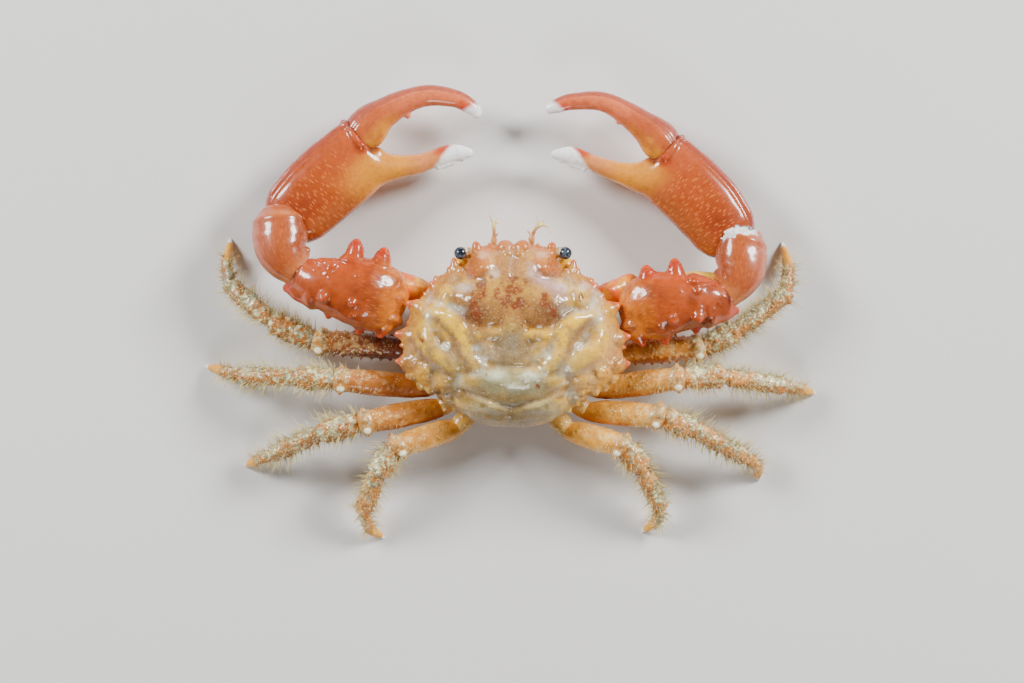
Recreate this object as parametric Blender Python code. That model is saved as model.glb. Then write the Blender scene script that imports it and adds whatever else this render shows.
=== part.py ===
"""A ridged clinging crab at life size, legs and claws spread, standing on its eight leg tips.

Lengths below are millimetres: +X is the animal's right, +Y its front, +Z up, the floor is z = 0.
"""

import math
import random

import bmesh
import bpy
from mathutils import Matrix, Vector

MM = 0.001
GAP = 0.3
UP = Vector((0.0, 0.0, 1.0))
# Brings the middle of the bounding box to the origin
SHIFT = Vector((0.2, 0.28, 0.0))

# Carapace: centre of its outline, turn about Z, heights of the crown, the edge and the underside
SHELL_CENTRE = Vector((0.05, -2.5, 0.0))
SHELL_TURN = math.radians(-0.6)
SHELL_CROWN = 13.4
SHELL_EDGE = 8.6
SHELL_EDGE_RISE = 0.5
SHELL_UNDER = 6.75
# Distance from the centre to the edge at each angle from the front, in degrees
SHELL_OUTLINE = (
    (0, 10.7), (19, 11.2), (24, 11.5), (29, 10.6), (36, 9.9), (43, 10.7), (52, 11.2), (59, 11.5), (66, 11.7),
    (74, 12.3), (90, 12.9), (103, 13.4), (112, 13.3), (123, 12.0), (129, 11.3), (140, 11.2), (157, 11.3),
    (180, 10.9),
)
# Swellings of the back on each side: out from the mid-line, forward of the centre, radius, height
SWELLINGS = (
    (0.0, 2.6, 2.6, 0.35), (4.7, 4.9, 2.7, 0.5), (0.0, -5.6, 3.3, 0.5), (8.4, 2.4, 1.6, 0.4), (6.5, 0.8, 1.5, 0.4),
    (5.2, -1.3, 1.4, 0.4), (4.1, -3.2, 1.3, 0.35), (11.0, 0.0, 1.4, 0.4), (9.0, -2.5, 1.6, 0.4),
    (7.0, -4.1, 1.4, 0.35), (10.4, -5.0, 1.0, 0.35), (8.1, -5.6, 1.0, 0.35), (3.5, -8.8, 1.4, 0.3),
    (9.0, 5.4, 1.0, 0.3),
)
# Teeth of the edge on each side: tip out and forward, height over the edge, length, root radius, tip radius,
# heading from the front
EDGE_TEETH = (
    (1.0, 11.4, 0.2, 1.8, 0.9, 0.62, 4), (2.9, 11.05, 0.2, 1.2, 0.45, 0.18, 0), (4.6, 11.15, 0.65, 1.9, 0.6, 0.2, 8),
    (7.25, 9.2, 0.0, 2.4, 0.75, 0.15, 14), (6.3, 7.9, -0.2, 1.2, 0.4, 0.15, 20), (8.8, 7.1, 0.1, 1.1, 0.4, 0.15, 45),
    (9.95, 6.2, 0.1, 2.0, 0.75, 0.15, 55), (10.7, 4.9, 0.1, 1.1, 0.4, 0.15, 60), (12.7, 3.8, 0.2, 2.2, 0.8, 0.15, 68),
    (12.8, 1.3, 0.1, 1.1, 0.4, 0.15, 85), (14.1, 0.1, 0.2, 2.2, 0.8, 0.15, 80), (13.6, -1.3, 0.1, 1.1, 0.4, 0.15, 90),
    (14.1, -3.2, 0.2, 2.0, 0.75, 0.15, 88),
)
EDGE_BEADS = (101, 108, 114, 120, 126, 133, 140, 147, 154)
BEAD_RADIUS = 0.42
# Rounded knobs of the back near the front on each side: out, forward, radius
BACK_KNOBS = ((0.8, 9.8, 0.55), (3.8, 9.0, 0.75), (4.9, 8.5, 0.5), (9.3, 4.6, 0.5), (10.9, 3.3, 0.5), (2.6, 9.4, 0.45))

# Walking legs, front to back: root, then the ends of coxa, merus, carpus and propodus, then dactyl middle and tip
LEGS = {
    "left_leg_1": ((-8.4, -3.6, 4.3), (-12.3, -4.1, 4.4), (-23.7, -3.2, 5.3), (-28.8, -0.9, 5.3),
               (-34.1, 3.6, 3.4), (-34.5, 6.4, 1.9), (-34.2, 9.2, 0.0)),
    "left_leg_2": ((-7.2, -7.0, 4.3), (-10.3, -8.8, 4.4), (-21.1, -7.8, 7.2), (-25.8, -7.5, 6.3),
               (-32.6, -7.4, 3.2), (-35.0, -6.8, 1.8), (-37.2, -6.2, 0.0)),
    "left_leg_3": ((-5.6, -9.2, 4.3), (-8.8, -11.2, 4.4), (-18.1, -13.0, 7.4), (-22.8, -14.1, 6.4),
               (-29.0, -16.8, 3.2), (-30.8, -17.6, 1.7), (-32.4, -18.3, 0.0)),
    "left_leg_4": ((-3.6, -10.6, 4.4), (-6.8, -13.6, 4.6), (-14.1, -15.9, 7.0), (-16.1, -18.8, 6.0),
               (-18.0, -23.6, 3.0), (-17.3, -25.8, 1.6), (-15.6, -27.1, 0.0)),
    "right_leg_1": ((8.4, -3.6, 4.3), (12.7, -4.6, 4.4), (22.8, -3.9, 5.2), (26.8, -2.0, 5.2),
                (33.0, 2.5, 3.4), (33.3, 5.9, 1.9), (32.7, 8.8, 0.0)),
    "right_leg_2": ((7.2, -7.0, 4.3), (10.3, -9.0, 4.4), (20.3, -7.6, 7.2), (25.1, -7.4, 6.3),
                (32.8, -8.6, 3.2), (34.7, -9.0, 1.9), (36.7, -9.5, 0.0)),
    "right_leg_3": ((5.6, -9.2, 4.3), (9.0, -11.6, 4.4), (17.9, -12.2, 7.4), (21.5, -13.7, 6.4),
                (28.2, -17.2, 3.2), (29.6, -18.3, 1.6), (29.8, -20.1, 0.0)),
    "right_leg_4": ((3.6, -10.6, 4.4), (6.7, -13.9, 4.6), (13.4, -15.8, 7.0), (15.4, -18.2, 6.0),
                (17.8, -23.1, 3.0), (17.4, -25.0, 1.5), (15.7, -26.3, 0.0)),
}
LEG_PARTS = ("coxa", "merus", "carpus", "propodus", "dactyl")
LEG_HALF_WIDTH = {"coxa": 1.2, "merus": 1.55, "carpus": 1.38, "propodus": 1.1, "dactyl": 0.76}
# Share of the length, then of the half width and of the half height
LEG_PROFILE = {
    "coxa": ((0.0, 0.8, 0.8), (0.5, 0.95, 0.95), (1.0, 0.85, 0.85)),
    "merus": ((0.0, 0.7, 0.7), (0.22, 0.92, 0.95), (0.55, 1.0, 1.02), (0.84, 0.9, 0.95), (0.93, 1.02, 1.05),
              (1.0, 0.86, 0.88)),
    "carpus": ((0.0, 0.74, 0.74), (0.2, 0.92, 0.95), (0.7, 1.04, 1.04), (1.0, 0.82, 0.85)),
    "propodus": ((0.0, 0.8, 0.82), (0.2, 0.97, 1.0), (0.75, 1.0, 1.0), (1.0, 0.76, 0.78)),
    "dactyl": ((0.0, 0.86, 0.88), (0.25, 1.0, 1.02), (0.6, 0.76, 0.8), (0.86, 0.52, 0.54), (1.0, 0.36, 0.36)),
}
LEG_SIDES = 8

# Claw limbs: points along the middle of each part, from the body to the tips; teeth of the merus as tip and
# radius, and the one round tooth inside the moving finger
ARMS = {
    "left": {
        "ischium": ((-8.6, 1.1, 4.8), (-11.1, 2.6, 5.4), (-13.9, 3.5, 6.7)),
        "merus": ((-13.2, 0.9, 6.9), (-17.0, 2.1, 8.2), (-22.4, 3.2, 8.0), (-25.3, 4.75, 7.4)),
        "carpus": ((-25.55, 5.05, 7.3), (-27.5, 7.4, 7.0), (-27.9, 10.0, 6.6), (-28.1, 12.5, 6.2)),
        "palm": ((-27.9, 10.3, 5.4), (-22.9, 15.3, 4.9), (-17.6, 19.8, 4.6)),
        "fixed_finger": ((-19.0, 17.4, 4.5), (-15.3, 17.6, 4.4), (-11.6, 18.1, 4.2), (-7.9, 19.3, 4.0),
                   (-6.6, 19.5, 4.0), (-5.1, 19.5, 4.0)),
        "dactyl": ((-18.45, 21.3, 4.8), (-15.6, 24.1, 4.8), (-11.1, 26.2, 4.6), (-7.1, 26.0, 4.4),
                  (-5.1, 25.0, 4.3), (-4.2, 24.2, 4.2)),
        "teeth": ((-18.5, 9.0, 8.6, 0.75), (-15.1, 8.0, 8.6, 0.9), (-16.0, -2.8, 7.8, 0.6), (-18.5, -2.4, 7.8, 0.6),
                  (-22.1, -0.6, 7.8, 0.5), (-25.5, 1.4, 7.6, 0.5), (-27.0, 3.0, 7.4, 0.6), (-19.1, 1.1, 11.5, 0.5),
                  (-22.7, 1.6, 11.2, 0.45)),
        "bite": (-12.6, 23.95, 4.6),
    },
    "right": {
        "ischium": ((8.6, 1.1, 4.8), (11.2, 2.1, 5.4), (14.3, 3.2, 6.7)),
        "merus": ((13.4, -0.4, 6.9), (17.0, 0.8, 8.2), (22.4, 1.3, 8.0), (25.2, 2.1, 7.4)),
        "carpus": ((25.5, 2.4, 7.3), (27.2, 5.0, 7.0), (27.4, 7.7, 6.6), (28.0, 10.0, 6.2)),
        "palm": ((26.9, 8.0, 5.4), (23.1, 13.3, 4.9), (17.7, 18.4, 4.6)),
        "fixed_finger": ((18.4, 16.1, 4.5), (14.8, 16.6, 4.4), (11.6, 17.5, 4.2), (7.9, 19.0, 4.0), (6.3, 19.3, 4.0),
                   (5.0, 19.3, 4.0)),
        "dactyl": ((18.5, 19.9, 4.8), (16.1, 22.4, 4.8), (11.4, 25.4, 4.6), (7.4, 25.6, 4.4), (5.4, 25.1, 4.3),
                  (4.4, 24.7, 4.2)),
        "teeth": ((19.3, 6.7, 8.6, 0.75), (15.8, 5.9, 8.6, 0.9), (15.7, -3.8, 7.8, 0.6), (18.4, -3.7, 7.8, 0.6),
                  (22.0, -2.3, 7.8, 0.5), (24.4, -1.0, 7.6, 0.5), (26.2, 0.5, 7.4, 0.6), (19.1, -1.2, 11.2, 0.5),
                  (22.3, -0.9, 11.0, 0.45)),
        "bite": (12.8, 23.25, 4.6),
    },
}
ARM_SCALE = {"left": 1.0, "right": 0.94}
# Share of the length, half width, half height
ARM_PROFILE = {
    "ischium": ((0.0, 1.3, 1.2), (0.5, 1.65, 1.45), (1.0, 1.8, 1.6)),
    "merus": ((0.0, 2.0, 1.1), (0.06, 3.1, 1.8), (0.17, 4.0, 2.5), (0.36, 4.5, 3.0), (0.56, 4.25, 3.0),
            (0.76, 3.45, 2.7), (0.92, 2.7, 2.4), (1.0, 2.25, 2.1)),
    "carpus": ((0.0, 1.95, 1.9), (0.18, 2.6, 2.4), (0.4, 3.15, 2.8), (0.62, 3.35, 2.8), (0.85, 2.85, 2.5),
               (0.96, 2.0, 1.9), (1.0, 1.4, 1.3)),
    "palm": ((0.0, 2.4, 1.4), (0.06, 3.5, 1.9), (0.17, 4.25, 2.3), (0.42, 4.7, 2.6), (0.7, 4.7, 2.6),
             (0.92, 4.6, 2.4), (1.0, 4.35, 2.2)),
    "fixed_finger": ((0.0, 1.8, 1.9), (0.26, 2.0, 1.7), (0.4, 1.4, 1.35), (0.54, 1.2, 1.15), (0.67, 1.08, 1.0),
               (0.8, 1.3, 0.95), (0.9, 1.0, 0.8), (0.96, 0.62, 0.5), (1.0, 0.34, 0.28)),
    "dactyl": ((0.0, 2.6, 2.0), (0.1, 2.5, 1.9), (0.25, 1.85, 1.55), (0.4, 1.5, 1.3), (0.55, 1.27, 1.1),
              (0.68, 1.18, 1.0), (0.79, 1.08, 0.9), (0.89, 0.97, 0.75), (0.96, 0.8, 0.55), (1.0, 0.45, 0.3)),
}
ARM_SIDES = {"ischium": 10, "merus": 14, "carpus": 14, "palm": 16, "fixed_finger": 10, "dactyl": 12}

EYE_RADIUS = 0.78
EYES = {"left": ((-6.2, 7.3, 9.0), (-3.9, 7.4, 8.1)), "right": ((6.3, 7.3, 9.0), (4.0, 7.4, 8.1))}
ANTENNAE = {
    "left": ((-2.4, 6.75, 5.9), (-2.35, 8.0, 6.6), (-2.2, 9.2, 7.2), (-2.3, 10.9, 7.6), (-2.9, 12.1, 7.9)),
    "right": ((2.5, 6.75, 5.9), (2.5, 8.0, 6.6), (2.3, 9.2, 7.2), (3.1, 10.6, 7.6), (4.2, 10.5, 7.8),
              (4.7, 9.8, 7.9)),
}
FEELER_TWIG = {"left": (0.55, 0.9, 0.3), "right": (-0.1, 0.9, 0.3)}

# Locks of bristles: how many along each edge of a leg part and along its top, their length and root radius
LOCKS = {"carpus": (4, 2), "propodus": (6, 3), "dactyl": (5, 2)}
LOCK_LENGTH = (0.9, 1.7)
LOCK_RADIUS = 0.3
LOCK_LEAN = 0.4
# Knobs round the far end of each merus, and the rows of small spines on the merus of the first legs
KNOB_RADIUS = 0.38
KNOB_ANGLES = (0.1, math.pi / 2, math.pi - 0.1)
SPINE_ROWS = (math.radians(55), math.radians(180))
SPINES_PER_ROW = 6
SPINE_LENGTH = 0.45

COLOURS = {
    "shell": (0.62, 0.42, 0.22), "claws": (0.66, 0.2, 0.08), "legs": (0.66, 0.34, 0.12),
    "underside": (0.7, 0.52, 0.32), "eyes": (0.03, 0.04, 0.06), "feelers": (0.7, 0.42, 0.24),
}
ROUGHNESS = {"shell": 0.35, "claws": 0.35, "legs": 0.55, "underside": 0.5, "eyes": 0.1, "feelers": 0.5}


def smooth_line(points, steps=12):
    """Points along a smooth curve through the given ones."""
    given = [Vector(point) for point in points]
    ends = [2 * given[0] - given[1], *given, 2 * given[-1] - given[-2]]
    line = []
    for i in range(len(given) - 1):
        a, b, c, d = ends[i:i + 4]
        for k in range(steps):
            s = k / steps
            line.append(0.5 * (2 * b + (c - a) * s + (2 * a - 5 * b + 4 * c - d) * s**2 + (3 * b - a - 3 * c + d) * s**3))
    line.append(given[-1])
    return line


def between(rows, t):
    """The row of a table at t, its first column, between the two nearest rows."""
    if t <= rows[0][0]:
        return rows[0][1:]
    for low, high in zip(rows, rows[1:]):
        if t <= high[0]:
            share = (t - low[0]) / (high[0] - low[0])
            return [a + (b - a) * share for a, b in zip(low[1:], high[1:])]
    return rows[-1][1:]


class Limb:
    """One part of a leg or claw: oval rings along a curve, its two end faces turned to its neighbours."""

    def __init__(self, points, profile, start_normal=None, end_normal=None, scale=1.0, power=2.0):
        self.line = smooth_line(points)
        self.reach = [0.0]
        for a, b in zip(self.line, self.line[1:]):
            self.reach.append(self.reach[-1] + (b - a).length)
        self.profile = [(t, w * scale, h * scale) for t, w, h in profile]
        self.start_normal = start_normal or (self.line[1] - self.line[0]).normalized()
        self.end_normal = end_normal or (self.line[-1] - self.line[-2]).normalized()
        self.power = power

    def at(self, t):
        want = t * self.reach[-1]
        i = 0
        while i < len(self.line) - 2 and self.reach[i + 1] < want:
            i += 1
        share = (want - self.reach[i]) / (self.reach[i + 1] - self.reach[i])
        centre = self.line[i].lerp(self.line[i + 1], share)
        return centre, (self.line[i + 1] - self.line[i]).normalized()

    def frame(self, t):
        centre, heading = self.at(t)
        normal = heading.copy()
        if t < 0.25:
            normal = normal.lerp(self.start_normal, 1 - t / 0.25)
        if t > 0.75:
            normal = normal.lerp(self.end_normal, (t - 0.75) / 0.25)
        normal.normalize()
        side = heading.cross(UP)
        side -= normal * side.dot(normal)
        side.normalize()
        return centre, normal, side, side.cross(normal)

    def point(self, t, angle):
        centre, _, side, top = self.frame(t)
        width, height = between(self.profile, t)
        c, s = math.cos(angle), math.sin(angle)
        flat = 2 / self.power
        c = math.copysign(abs(c) ** flat, c)
        s = math.copysign(abs(s) ** flat, s)
        return centre + side * c * width + top * s * height

    def mesh(self, sides, stations=None):
        stations = stations or [row[0] for row in self.profile]
        rings = [[self.point(t, 2 * math.pi * (k + 0.5) / sides) for k in range(sides)] for t in stations]
        return loft(rings)


def loft(rings):
    """A closed mesh through rings of as many points each, a fan closing both ends."""
    mesh = bmesh.new()
    rows = [[mesh.verts.new(point) for point in ring] for ring in rings]
    count = len(rings[0])
    for low, high in zip(rows, rows[1:]):
        for k in range(count):
            mesh.faces.new((low[k], low[(k + 1) % count], high[(k + 1) % count], high[k]))
    for row in (rows[0], rows[-1]):
        middle = mesh.verts.new(sum((vert.co for vert in row), Vector()) / count)
        for k in range(count):
            mesh.faces.new((row[k], row[(k + 1) % count], middle))
    bmesh.ops.recalc_face_normals(mesh, faces=mesh.faces)
    return mesh


def spine(root, tip, radius, tip_radius=0.0, sides=5):
    """A straight taper from root to tip."""
    root, tip = Vector(root), Vector(tip)
    heading = tip - root
    mesh = bmesh.new()
    bmesh.ops.create_cone(mesh, cap_ends=True, segments=sides, radius1=radius, radius2=tip_radius,
                          depth=heading.length)
    turn = heading.to_track_quat("Z", "Y").to_matrix().to_4x4()
    bmesh.ops.transform(mesh, matrix=Matrix.Translation((root + tip) / 2) @ turn, verts=mesh.verts)
    return mesh


def ball(centre, radius, segments=8, rings=6, squash=1.0):
    mesh = bmesh.new()
    bmesh.ops.create_uvsphere(mesh, u_segments=segments, v_segments=rings, radius=radius)
    shape = Matrix.Translation(centre) @ Matrix.Diagonal((1.0, 1.0, squash, 1.0))
    bmesh.ops.transform(mesh, matrix=shape, verts=mesh.verts)
    return mesh


def grown(mesh, distance):
    """A copy of a smooth closed mesh, each point moved out by the distance."""
    copy = mesh.copy()
    copy.normal_update()
    moves = [vert.normal * distance for vert in copy.verts]
    for vert, move in zip(copy.verts, moves):
        vert.co += move
    return copy


def outward(mesh):
    bmesh.ops.recalc_face_normals(mesh, faces=mesh.faces)
    if mesh.calc_volume(signed=True) < 0:
        bmesh.ops.reverse_faces(mesh, faces=mesh.faces)
    return mesh


def to_object(name, mesh, collection):
    data = bpy.data.meshes.new(name)
    outward(mesh)
    bmesh.ops.transform(mesh, matrix=Matrix.Scale(MM, 4) @ Matrix.Translation(SHIFT), verts=mesh.verts)
    mesh.to_mesh(data)
    mesh.free()
    made = bpy.data.objects.new(name, data)
    collection.objects.link(made)
    return made


def combine(target, meshes, operation):
    """Joins closed meshes to an object, or cuts them out of it, and applies the result."""
    if not meshes:
        return
    helpers = bpy.data.collections.new("helpers")
    bpy.context.scene.collection.children.link(helpers)
    for mesh in meshes:
        to_object("helper", mesh, helpers)
    boolean = target.modifiers.new("combine", "BOOLEAN")
    boolean.operation = operation
    boolean.operand_type = "COLLECTION"
    boolean.collection = helpers
    boolean.solver = "EXACT"
    graph = bpy.context.evaluated_depsgraph_get()
    result = bpy.data.meshes.new_from_object(target.evaluated_get(graph))
    target.modifiers.clear()
    target.data = result
    for helper in list(helpers.objects):
        bpy.data.objects.remove(helper)
    bpy.data.collections.remove(helpers)


def keep_largest(target):
    """Drops every closed surface of the object but the largest."""
    mesh = bmesh.new()
    mesh.from_mesh(target.data)
    bmesh.ops.remove_doubles(mesh, verts=mesh.verts, dist=1e-7)
    left = set(mesh.verts)
    pieces = []
    while left:
        piece = set()
        edge = [left.pop()]
        while edge:
            vert = edge.pop()
            piece.add(vert)
            for link in vert.link_edges:
                other = link.other_vert(vert)
                if other in left:
                    left.remove(other)
                    edge.append(other)
        pieces.append(piece)
    pieces.sort(key=len, reverse=True)
    for piece in pieces[1:]:
        bmesh.ops.delete(mesh, geom=list(piece), context="VERTS")
    mesh.to_mesh(target.data)
    mesh.free()


def material(slot):
    made = bpy.data.materials.get(slot)
    if made is None:
        made = bpy.data.materials.new(slot)
        made.use_nodes = True
        shader = made.node_tree.nodes["Principled BSDF"]
        shader.inputs["Base Color"].default_value = (*COLOURS[slot], 1.0)
        shader.inputs["Roughness"].default_value = ROUGHNESS[slot]
    return made


def part(name, body, slot, added=(), cut=()):
    """One named node: a body with shapes joined to it and others cut away."""
    made = to_object(name, body, CRAB)
    combine(made, list(added), "UNION")
    combine(made, list(cut), "DIFFERENCE")
    keep_largest(made)
    made.data.materials.clear()
    made.data.materials.append(material(slot))
    return made


def shell_point(out, forward, height):
    """A point given from the centre of the carapace, in the model's own frame."""
    point = Matrix.Rotation(SHELL_TURN, 3, "Z") @ Vector((out, forward, 0.0))
    return point + SHELL_CENTRE + Vector((0.0, 0.0, height))


def shell_radius(angle):
    """Distance from the centre to the edge; the angle is measured from the front, either way."""
    degrees = abs(math.degrees(angle) + 180) % 360 - 180
    return between(SHELL_OUTLINE, abs(degrees))[0]


def edge_height(angle):
    return SHELL_EDGE + SHELL_EDGE_RISE * math.cos(angle)


def shell_height(out, forward):
    """Height of the back over a point, its swellings included."""
    angle = math.atan2(out, forward)
    share = min(math.hypot(out, forward) / shell_radius(angle), 1.0)
    edge = edge_height(angle)
    height = edge + (SHELL_CROWN - edge) * (1 - share**2.3) ** 0.7
    for middle, ahead, radius, rise in SWELLINGS:
        gap = math.hypot(abs(out) - middle, forward - ahead) / radius
        height += rise * math.exp(-gap * gap) * min(1.0, 4 * (1 - share))
    return height


def shell_body(columns=60):
    rings = []
    for share in (0.14, 0.3, 0.45, 0.58, 0.7, 0.8, 0.88, 0.94, 0.98, 1.0):
        ring = []
        for k in range(columns):
            angle = 2 * math.pi * k / columns
            reach = share * shell_radius(angle)
            out, forward = reach * math.sin(angle), reach * math.cos(angle)
            ring.append(shell_point(out, forward, shell_height(out, forward)))
        rings.append(ring)
    for share, drop in ((0.995, 0.35), (0.95, 1.1), (0.86, None)):
        ring = []
        for k in range(columns):
            angle = 2 * math.pi * k / columns
            reach = share * shell_radius(angle)
            height = SHELL_UNDER if drop is None else edge_height(angle) - drop
            ring.append(shell_point(reach * math.sin(angle), reach * math.cos(angle), height))
        rings.append(ring)
    return loft(rings)


def thorax_body(columns=32):
    rings = []
    for share, height in ((0.72, 6.4), (0.82, 5.7), (0.8, 4.4), (0.66, 3.4), (0.5, 3.1)):
        ring = []
        for k in range(columns):
            angle = 2 * math.pi * k / columns
            reach = share * between(((0, 10.6), (45, 10.9), (90, 12.0), (135, 11.4), (180, 11.2)),
                                    abs((math.degrees(angle) + 180) % 360 - 180))[0]
            ring.append(shell_point(reach * math.sin(angle), reach * math.cos(angle), height))
        rings.append(ring)
    return loft(rings)


def edge_teeth():
    made = []
    for out, forward, rise, length, radius, tip_radius, heading in EDGE_TEETH:
        for way in (-1, 1):
            angle = math.atan2(out, forward)
            height = edge_height(angle) + rise
            back = math.radians(heading)
            root_out = out - length * math.sin(back)
            root_forward = forward - length * math.cos(back)
            root = shell_point(way * root_out, root_forward, height)
            tip = shell_point(way * out, forward, height + 0.1)
            made.append(spine(root, tip, radius, tip_radius, 6))
    for degrees in EDGE_BEADS:
        for way in (-1, 1):
            angle = math.radians(degrees)
            reach = shell_radius(angle)
            made.append(ball(shell_point(way * reach * math.sin(angle), reach * math.cos(angle),
                                         edge_height(angle)), BEAD_RADIUS, 6, 4))
    for out, forward, radius in BACK_KNOBS:
        for way in (-1, 1):
            height = shell_height(out, forward)
            made.append(ball(shell_point(way * out, forward, height - 0.1), radius, 8, 6))
    return made


def joint_normal(before, middle, after):
    """The direction that a joint faces: halfway between the two parts that meet in it."""
    first = (Vector(middle) - Vector(before)).normalized()
    second = (Vector(after) - Vector(middle)).normalized()
    return (first + second).normalized()


def leg_limbs(name):
    """The five parts of a leg as Limbs, body to tip."""
    joints = [Vector(point) for point in LEGS[name]]
    middle_of_dactyl = joints.pop(5)
    limbs = {}
    normals = [(joints[1] - joints[0]).normalized()]
    for i in range(1, 5):
        after = middle_of_dactyl if i == 4 else joints[i + 1]
        normals.append(joint_normal(joints[i - 1], joints[i], after))
    normals.append(Vector((0.0, 0.0, -1.0)))
    for i, kind in enumerate(LEG_PARTS):
        start = joints[i] + normals[i] * GAP / 2 * (i > 0)
        end = joints[i + 1] - normals[i + 1] * GAP / 2 * (i < 4)
        points = (start, middle_of_dactyl, end) if kind == "dactyl" else (start, end)
        limbs[kind] = Limb(points, LEG_PROFILE[kind], normals[i], normals[i + 1], LEG_HALF_WIDTH[kind])
    return limbs


def locks(limb, kind, rng):
    """Locks of bristles along both edges and the top of a leg part, their roots well inside it."""
    made = []
    along, on_top = LOCKS.get(kind, (0, 0))
    for side, number in ((0.0, along), (math.pi, along), (math.pi / 2, on_top)):
        for k in range(number):
            t = 0.08 + 0.86 * (k + 0.5 + rng.uniform(-0.2, 0.2)) / number
            angle = side + rng.uniform(-0.35, 0.35)
            centre, heading = limb.at(t)
            skin = limb.point(t, angle)
            out = (skin - centre).normalized()
            lean = LOCK_LEAN + rng.uniform(-0.15, 0.15)
            heading = (out + heading * lean).normalized()
            tip = skin + heading * rng.uniform(*LOCK_LENGTH)
            tip.z = max(tip.z, 0.25)
            made.append(spine(centre.lerp(skin, 0.5), tip, LOCK_RADIUS, 0.0, 3))
    return made


def merus_knobs(limb, side, first):
    """Knobs round the far end of a merus; the first legs also carry two rows of small spines."""
    made = [ball(limb.point(0.95, angle), KNOB_RADIUS, 6, 4) for angle in KNOB_ANGLES]
    if not first:
        return made
    rear = 1 if side == "left" else -1
    for row in SPINE_ROWS:
        for k in range(SPINES_PER_ROW):
            t = 0.2 + 0.68 * k / (SPINES_PER_ROW - 1)
            angle = math.pi / 2 + rear * (row - math.pi / 2)
            skin = limb.point(t, angle)
            centre = limb.at(t)[0]
            out = (skin - centre).normalized()
            made.append(spine(centre.lerp(skin, 0.6), skin + out * SPINE_LENGTH, 0.34, 0.1, 5))
    return made


def build_leg(name, rng):
    limbs = leg_limbs(name)
    for kind, limb in limbs.items():
        added = []
        if kind == "merus":
            added += merus_knobs(limb, name.split("_")[0], name.endswith("1"))
        added += locks(limb, kind, rng)
        part(f"{name}_{kind}", limb.mesh(LEG_SIDES), "legs", added)
    return limbs["coxa"]


def build_arm(side):
    points = ARMS[side]
    scale = ARM_SCALE[side]
    wrist_normal = joint_normal(points["merus"][2], points["merus"][3], points["carpus"][1])
    limbs = {}
    for kind in ("ischium", "merus", "carpus", "palm", "fixed_finger", "dactyl"):
        start = wrist_normal if kind == "carpus" else None
        end = wrist_normal if kind == "merus" else None
        size = 1.0 if kind == "ischium" else scale
        limbs[kind] = Limb(points[kind], ARM_PROFILE[kind], start, end, size, 2.3 if kind == "palm" else 2.0)
    bodies = {kind: limb.mesh(ARM_SIDES[kind]) for kind, limb in limbs.items()}
    teeth = []
    for x, y, z, radius in points["teeth"]:
        tip = Vector((x, y, z))
        middle = min((limbs["merus"].at(k / 20)[0] for k in range(21)), key=lambda place: (place - tip).length)
        root = tip + (middle - tip).normalized() * 3.4 * radius
        teeth.append(spine(root, tip, radius * 1.5, radius * 0.35, 7))
    part(f"{side}_claw_ischium", bodies["ischium"].copy(), "claws", cut=[grown(bodies["merus"], GAP)])
    part(f"{side}_claw_merus", bodies["merus"].copy(), "claws", [tooth.copy() for tooth in teeth])
    part(f"{side}_claw_carpus", bodies["carpus"].copy(), "claws",
         cut=[grown(bodies["merus"], GAP), grown(teeth[6], GAP)])
    part(f"{side}_claw_palm", bodies["palm"].copy(), "claws", [bodies["fixed_finger"].copy()],
         [grown(bodies["carpus"], GAP)])
    part(f"{side}_claw_dactyl", bodies["dactyl"].copy(), "claws", [ball(points["bite"], 0.4, 8, 6)],
         [grown(bodies["palm"], GAP), grown(bodies["fixed_finger"], GAP)])
    return limbs["ischium"]


def build_eye(side):
    centre, root = (Vector(point) for point in EYES[side])
    stalk = Limb((root, centre), ((0.0, 0.38, 0.38), (1.0, 0.6, 0.6)))
    part(f"eye_{side}", ball(centre, EYE_RADIUS, 14, 10), "eyes", [stalk.mesh(8)])
    return [ball(centre, EYE_RADIUS + GAP, 14, 10), Limb(
        (root + (root - centre).normalized() * GAP, centre), ((0.0, 0.68, 0.68), (1.0, 0.9, 0.9))).mesh(8)]


def build_feelers(side):
    thickness = ((0.0, 0.36, 0.36), (0.45, 0.3, 0.3), (0.72, 0.25, 0.25), (0.8, 0.16, 0.16), (1.0, 0.08, 0.08))
    feeler = Limb(ANTENNAE[side], thickness)
    fork = feeler.at(0.74)[0]
    twig = spine(feeler.at(0.7)[0], fork + Vector(FEELER_TWIG[side]), 0.16, 0.06, 5)
    part(f"antenna_{side}", feeler.mesh(6, [k / 10 for k in range(11)]), "feelers", [twig])


def build_body(hips, orbits):
    part("carapace", shell_body(), "shell", edge_teeth(), orbits)
    sockets = [grown(hip.mesh(LEG_SIDES), GAP) for hip in hips]
    part("thorax", thorax_body(), "underside", cut=sockets)
    pleon = Limb(((0.0, -12.6, 3.6), (0.0, -10.0, 2.6), (0.0, -2.6, 2.4)),
                 ((0.0, 1.6, 0.3), (0.25, 2.4, 0.36), (0.6, 1.9, 0.36), (1.0, 0.9, 0.3)))
    part("pleon", pleon.mesh(10), "underside", cut=[grown(thorax_body(), GAP)])
    for side, way in (("left", -1), ("right", 1)):
        flap = Limb(((way * 1.35, 3.9, 2.6), (way * 1.35, 6.6, 4.0), (way * 1.35, 7.0, 5.4)),
                    ((0.0, 0.9, 0.3), (0.4, 1.15, 0.45), (1.0, 1.0, 0.35)))
        part(f"mouth_flap_{side}", flap.mesh(8), "underside", cut=[grown(thorax_body(), GAP)])


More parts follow.
